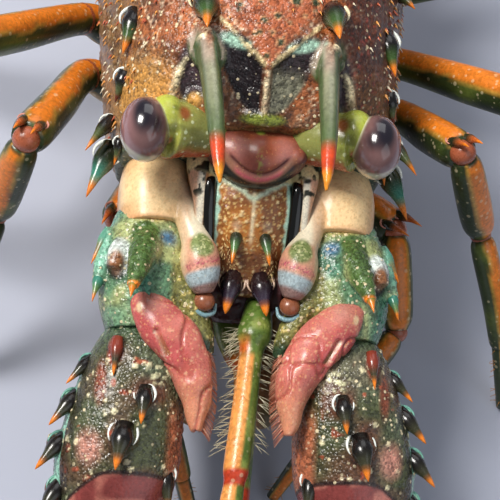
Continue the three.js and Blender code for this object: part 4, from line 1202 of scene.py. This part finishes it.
def sternum():
    rows = [(0, -18, -24, 8, 5), (0, -40, -26, 12, 5), (0, -65, -26.5, 16, 5), (0, -88, -26, 18, 5),
            (0, -97, -24, 14, 4)]

    def lift(p, n):
        f = -p[:, 1]
        return -0.7 * (np.abs(np.sin((f + 26) * math.pi / 14)) < 0.12) * step(0, -0.5, n[:, 2])

    def tint(p, n, form):
        coat = Coat(p, 0xB08A58)
        coat.over(0x8A5A3A, step(-0.2, 0.5, noise(p, 6, 71)))
        return coat.colour, masks(p, 0.3, 0.5, 0.1)

    dress("sternum", "shell", fused([loft(1, rows, sides=48, power=3)], voxel=0.6, rounds=3),
          SHELL, tint, lift)


# Walking legs: hip, rise, knee, ankle and foot, each as side, ahead, up; the foot is on the floor
LEGS = {
    "left": [
        [(13, -26, -23), (22, -21, -19), (29, -13, -15), (31, 3, -25), (11, 29)],
        [(15, -42, -24), (30, -37, -13), (36.6, -18.4, 4.4), (45.6, -14, -16), (58, 8)],
        [(17, -55, -24), (31, -49, -13), (53, -27, 7), (62, -23, -13), (86, -12)],
        [(18, -69, -24), (33, -68, -14), (55, -64, 4), (64, -66, -15), (88, -78)],
        [(18, -83, -24), (32, -88, -15), (48, -98, 0), (55, -105, -17), (70, -130)],
    ],
    "right": [
        [(13, -26, -23), (19, -20, -20), (21.6, -12, -17.5), (15, 11, -26), (3, 38)],
        [(15, -43, -24), (29.6, -40, -13), (37.6, -14, 4.8), (43, -11, -16), (53, 9)],
        [(17, -57, -24), (31, -53, -13), (51, -30, 7), (60, -27, -13), (84, -18)],
        [(18, -69, -24), (33, -67, -14), (55, -61, 4), (64, -62, -15), (88, -72)],
        [(18, -83, -24), (32, -89, -15), (47, -100, 0), (53, -108, -17), (66, -134)],
    ],
}
LEG_DARK = rgb(0x2E3A1C)
LEG_STRIPE = rgb(0xE07C22)


def leg_tint(p, n, form):
    up = np.sin(form["a"])
    t = form["t"]
    coat = Coat(p, LEG_DARK)
    coat.over(0x5C6A2C, step(-0.1, 0.6, noise(p, 5, 81)))
    wobble = 0.12 * noise(p, 3, 82)
    stripe = step(0.78, 0.9, up + wobble) * step(0.02, 0.08, t) * step(1, 0.93, t)
    coat.over(LEG_STRIPE, stripe)
    coat.over(0xD8A040, 0.7 * step(0.7, 0.78, up + wobble) * step(0.86, 0.8, up + wobble))
    coat.over(0xC8A060, step(-0.55, -0.8, up) * 0.7)
    return coat.colour, masks(p, 0.35, 0.4, 0.3)


def leg(label, side, index, places):
    hip, rise, knee, ankle, foot = [np.array(q if len(q) > 2 else (*q, FLOOR + FOOT_REST),
                                             float) for q in places]
    out = foot - hip
    hint = np.array([out[1], -out[0], 0.0])
    hint = np.array([side * hint[0], -hint[1], 0.0]) * side
    hint /= np.linalg.norm(hint)
    r = LEG_RADIUS

    def lerp(a, b, share):
        return a + (b - a) * share

    upper = [[*hip, r * 1.3], [*lerp(hip, rise, 0.62), r * 1.08], [*rise, r * 0.88],
             [*lerp(rise, knee, 0.5), r * 0.95, r * 1.12], [*lerp(rise, knee, 0.86), r * 0.98, r * 1.05],
             [*lerp(rise, knee, 0.97), r * 0.8]]
    dress(f"leg_{label}_{index}_upper", "shell", loft(side, upper, sides=32, steps=10, hint=hint),
          LEG, leg_tint)

    def shin(share):
        return lerp(ankle, foot, share) + [0, 0, SHIN_BOW * math.sin(math.pi * share)]

    wrist = [[*lerp(knee, ankle, 0.05), r * 0.6], [*lerp(knee, ankle, 0.22), r * 0.84],
             [*lerp(knee, ankle, 0.8), r * 0.88], [*lerp(knee, ankle, 0.97), r * 0.6]]
    hand = [[*shin(0.02), r * 0.5], [*shin(0.1), r * 0.7], [*shin(0.4), r * 0.66], [*shin(0.62), r * 0.56],
            [*shin(0.66), r * 0.46]]
    claw = [[*shin(0.655), r * 0.42], [*shin(0.84), r * 0.4], [*foot, FOOT_RADIUS * 0.9]]
    parts = [loft(side, rows, sides=28, steps=8, hint=hint) for rows in (wrist, hand, claw)]
    dress(f"leg_{label}_{index}_lower", "shell", join(parts), LEG, leg_tint)
    thorns = Thorns()
    way = (knee - rise) / np.linalg.norm(knee - rise)
    for tilt in (-0.5, 0.5):
        root = lerp(rise, knee, 0.88) + [0, 0, r * 0.75] + np.array([-way[1], way[0], 0]) * tilt * r
        thorns.add(side, root, root + way * r * 1.5 + [0, 0, r * 0.3], 0.9, base=DARK_OLIVE, middle=ORANGE,
                   rim=0xD8907C)
    for place, size in ((lerp(knee, rise, 0.01), 0.66), (ankle, 0.58), (shin(0.645), 0.44), (rise, 0.9)):
        thorns.bead(side, place, (r * size,) * 3, 0xA85A3C)
    for _ in range(FOOT_HAIRS):
        share = rng.uniform(0.66, 0.98)
        centre = shin(share)
        turn = rng.uniform(0, 2 * math.pi)
        root = centre + np.array([math.cos(turn), math.sin(turn), 0]) * r * 0.36
        thorns.hair(side, root, root + np.array([math.cos(turn), math.sin(turn), -0.8]) * 0.9, 0.09,
                    0xC8883C)
    thorns.build(f"leg_{label}_{index}_joints")


# Abdomen and tail fan
def abdomen_axis(share):
    ahead = CARAPACE_BACK - share * ABDOMEN_RINGS * RING_LENGTH
    return np.array([0, ahead, BODY_WIDEST - 1 - ABDOMEN_DROP * share**1.7])


def abdomen_size(share):
    return 26 - 7.5 * share**1.2, 24 - 10.5 * share, 13 - 3.5 * share


def abdomen_row(share, swell):
    wide, above, below = abdomen_size(share)
    return [*abdomen_axis(share), wide * swell, above * swell, below]


def abdomen():
    for index in range(ABDOMEN_RINGS):
        start, end = index / ABDOMEN_RINGS, (index + 1) / ABDOMEN_RINGS

        def span(share):
            return start + (end - start) * share

        forms = [loft(1, [abdomen_row(max(start - 0.008, 0.004), 0.93), abdomen_row(span(0.3), 0.965),
                          abdomen_row(span(0.75), 0.995), abdomen_row(end - 0.004, 0.97)], sides=64,
                      steps=8, power=2.2)]
        for side in (-1, 1):
            wide, _, below = abdomen_size(span(0.6))
            _, f, z = abdomen_axis(span(0.6))
            forms.append(loft(side, [(wide * 0.86, f + 1, z + 1, 1.6, 6.3),
                                     (wide * 0.95, f - 0.5, z - below * 0.7, 1.4, 5.4),
                                     (wide * 0.97, f - 4, z - below - 3.6, 1, 2.5),
                                     (wide * 0.95, f - 7.3, z - below - 6.3, 0.3)], sides=24))
            if 0 < index < ABDOMEN_RINGS - 1:
                wide, _, below = abdomen_size(span(0.35))
                _, f, z = abdomen_axis(span(0.35))
                z -= below
                forms.append(loft(side, [(wide * 0.42, f, z + 2.5, 1.6, 0.9),
                                         (wide * 0.45, f - 2.5, z - 3, 3.8, 0.7),
                                         (wide * 0.5, f - 6, z - 7.5, 4.3, 0.6),
                                         (wide * 0.52, f - 9.4, z - 10.3, 2, 0.4)],
                                  sides=24))

        def along(p):
            """0 at the front of this ring and 1 at its end."""
            share = (CARAPACE_BACK + p[:, 1]) / (ABDOMEN_RINGS * RING_LENGTH)
            return (share - start) / (end - start)

        def lift(p, n):
            local = along(p)
            top = step(-0.2, 0.4, n[:, 2])
            groove = bell(local - 0.42, 0.05) * step(2.5, 5, np.abs(p[:, 0]))
            return -0.55 * groove * top + 0.12 * granules(p, 1.6, 0.4, 91) * top

        _, flap_ahead, flap_up = abdomen_axis(span(0.6))
        flap_spot = (abdomen_size(span(0.6))[0] * 0.93, flap_ahead, flap_up - 3)

        def tint(p, n, form):
            local = along(p)
            coat = Coat(p, 0x7C3E28)
            coat.over(0x5A3424, step(-0.3, 0.5, noise(p, 5, 92)))
            coat.over(0xA8603C, 0.5 * step(0, 0.7, noise(p, 9, 93)))
            coat.over(0xD8B070, 0.6 * bell(local - 0.93, 0.035))
            # Painted shade: the groove across each ring is painted dark brown on its upper faces.
            coat.over(0x3A2018, 0.7 * bell(local - 0.42, 0.05) * step(0, 0.4, n[:, 2]))
            coat.over(0xE0A858, 0.8 * blob(p, flap_spot, (3, 3, 3), 0.6))
            coat.over(0xC8A078, step(-0.2, -0.6, n[:, 2]) * 0.8)
            return coat.colour, masks(p, 0.5, 0.6, 0.2)

        dress(f"abdomen_{index + 1}", "shell", fused(forms, voxel=0.5, rounds=3), SHELL, tint,
              lift)


def fan_plate(name, side, spread, offset, half_width, length, drop):
    root = abdomen_axis(1)
    turn = math.radians(spread)
    rows = []
    widths = (0.45, 0.7, 0.92, 1, 0.92, 0.5)
    for i, wide in enumerate(widths):
        share = i / (len(widths) - 1)
        rows.append([offset + math.sin(turn) * length * share, root[1] + 2 - math.cos(turn) * length
                     * share * 0.995,
                     root[2] + drop - 3 - 13 * share, half_width * wide * 0.985, 1.5 - 1.05 * share])
    hint = (math.cos(turn), -side * math.sin(turn), 0)
    form = loft(side, rows, sides=56, steps=14, hint=hint, power=2.4)

    def lift(p, n):
        x, f = side * p[:, 0] - offset, root[1] + 2 + p[:, 1]
        around = np.arctan2(x + 0.01, np.maximum(f, 0.5) + 6)
        return 0.14 * np.cos(around * 90) * step(4, 12, f) * np.abs(n[:, 2])

    def tint(p, n, form):
        t = form["t"]
        coat = Coat(p, 0x6E3824)
        coat.over(0x3E4428, step(0.35, 0.6, t))
        coat.over(0x8A5030, step(-0.2, 0.5, noise(p, 4, 95)) * 0.6)
        coat.over(0xC87838, step(0.88, 0.96, t))
        return coat.colour, masks(p, 0.35 * step(0.6, 0.3, t), 0.5, 0.2)

    dress(name, "plate", form, TAIL, tint, lift)


def tail_fan():
    fan_plate("telson", 1, 0, 0, 12, 40, 1)
    for label, side in (("left", 1), ("right", -1)):
        fan_plate(f"tail_inner_{label}", side, 21, 10, 10.5, 39.2, 0)
        fan_plate(f"tail_outer_{label}", side, 42, 13.5, 11, 37.6, -1)


# Camera, lights and floor
def camera():
    a, e, r = (math.radians(v) for v in (CAMERA_AZIMUTH, CAMERA_ELEVATION, CAMERA_ROLL))
    back = Vector((math.sin(a) * math.cos(e), -math.cos(a) * math.cos(e), math.sin(e)))
    right = Vector((math.cos(a), math.sin(a), 0))
    up = back.cross(right)
    across = right * math.cos(r) + up * math.sin(r)
    over = -right * math.sin(r) + up * math.cos(r)
    target = Vector((at(*CAMERA_TARGET) + SHIFT) * MM)
    place = target + back * CAMERA_DISTANCE * MM
    obj = bpy.data.objects.new("camera", bpy.data.cameras.new("camera"))
    obj.matrix_world = Matrix((
        (across.x, over.x, back.x, place.x), (across.y, over.y, back.y, place.y),
        (across.z, over.z, back.z, place.z), (0, 0, 0, 1)))
    obj.data.sensor_width = SENSOR
    obj.data.lens = CAMERA_LENS
    obj.data.clip_start = CLIP_START
    bpy.context.scene.collection.objects.link(obj)
    bpy.context.scene.camera = obj


def area_light(name, place, target, size, power, colour):
    lamp = bpy.data.lights.new(name, "AREA")
    lamp.size, lamp.energy, lamp.color = size, power, colour
    obj = bpy.data.objects.new(name, lamp)
    obj.location = place
    obj.rotation_mode = "QUATERNION"
    obj.rotation_quaternion = (Vector(target) - Vector(place)).to_track_quat("-Z", "Y")
    bpy.context.scene.collection.objects.link(obj)


def studio():
    head = Vector(SHIFT * MM)
    for name, place, aim, size, power, colour in LIGHTS:
        area_light(name, head + Vector(place), head + Vector(aim), size, power, colour)
    world = bpy.data.worlds.new("studio")
    world.use_nodes = True
    world.node_tree.nodes["Background"].inputs["Color"].default_value = SKY_COLOUR
    world.node_tree.nodes["Background"].inputs["Strength"].default_value = SKY_STRENGTH
    bpy.context.scene.world = world
    size = FLOOR_HALF
    mesh = bpy.data.meshes.new("floor")
    mesh.from_pydata([(-size, -size, 0), (size, -size, 0), (size, size, 0), (-size, size, 0)], [],
                     [(0, 1, 2, 3)])
    floor = bpy.data.objects.new("floor", mesh)
    pale = bpy.data.materials.new("pale_floor")
    pale.use_nodes = True
    pale.node_tree.nodes["Principled BSDF"].inputs["Base Color"].default_value = FLOOR_COLOUR
    pale.node_tree.nodes["Principled BSDF"].inputs["Roughness"].default_value = FLOOR_ROUGHNESS
    mesh.materials.append(pale)
    bpy.context.scene.collection.objects.link(floor)


bpy.context.scene.view_settings.view_transform = "Standard"
camera()
studio()
carapace()
carapace_spines()
head_plate()
eye_bridge()
eyes()
for label, side in (("left", 1), ("right", -1)):
    feeler_base(label, side)
    feeler_ischium(label, side)
    feeler_merus(label, side)
    feeler_pad(label, side)
    feeler_carpus(label, side)
    feeler_whip(label, side)
    for number, places in enumerate(LEGS[label]):
        leg(label, side, number + 1, places)
small_feeler("left", SMALL_UPPER, 10)
small_feeler("right", SMALL_LOWER, -12)
small_hairs()
mouth_legs()
sternum()
abdomen()
tail_fan()
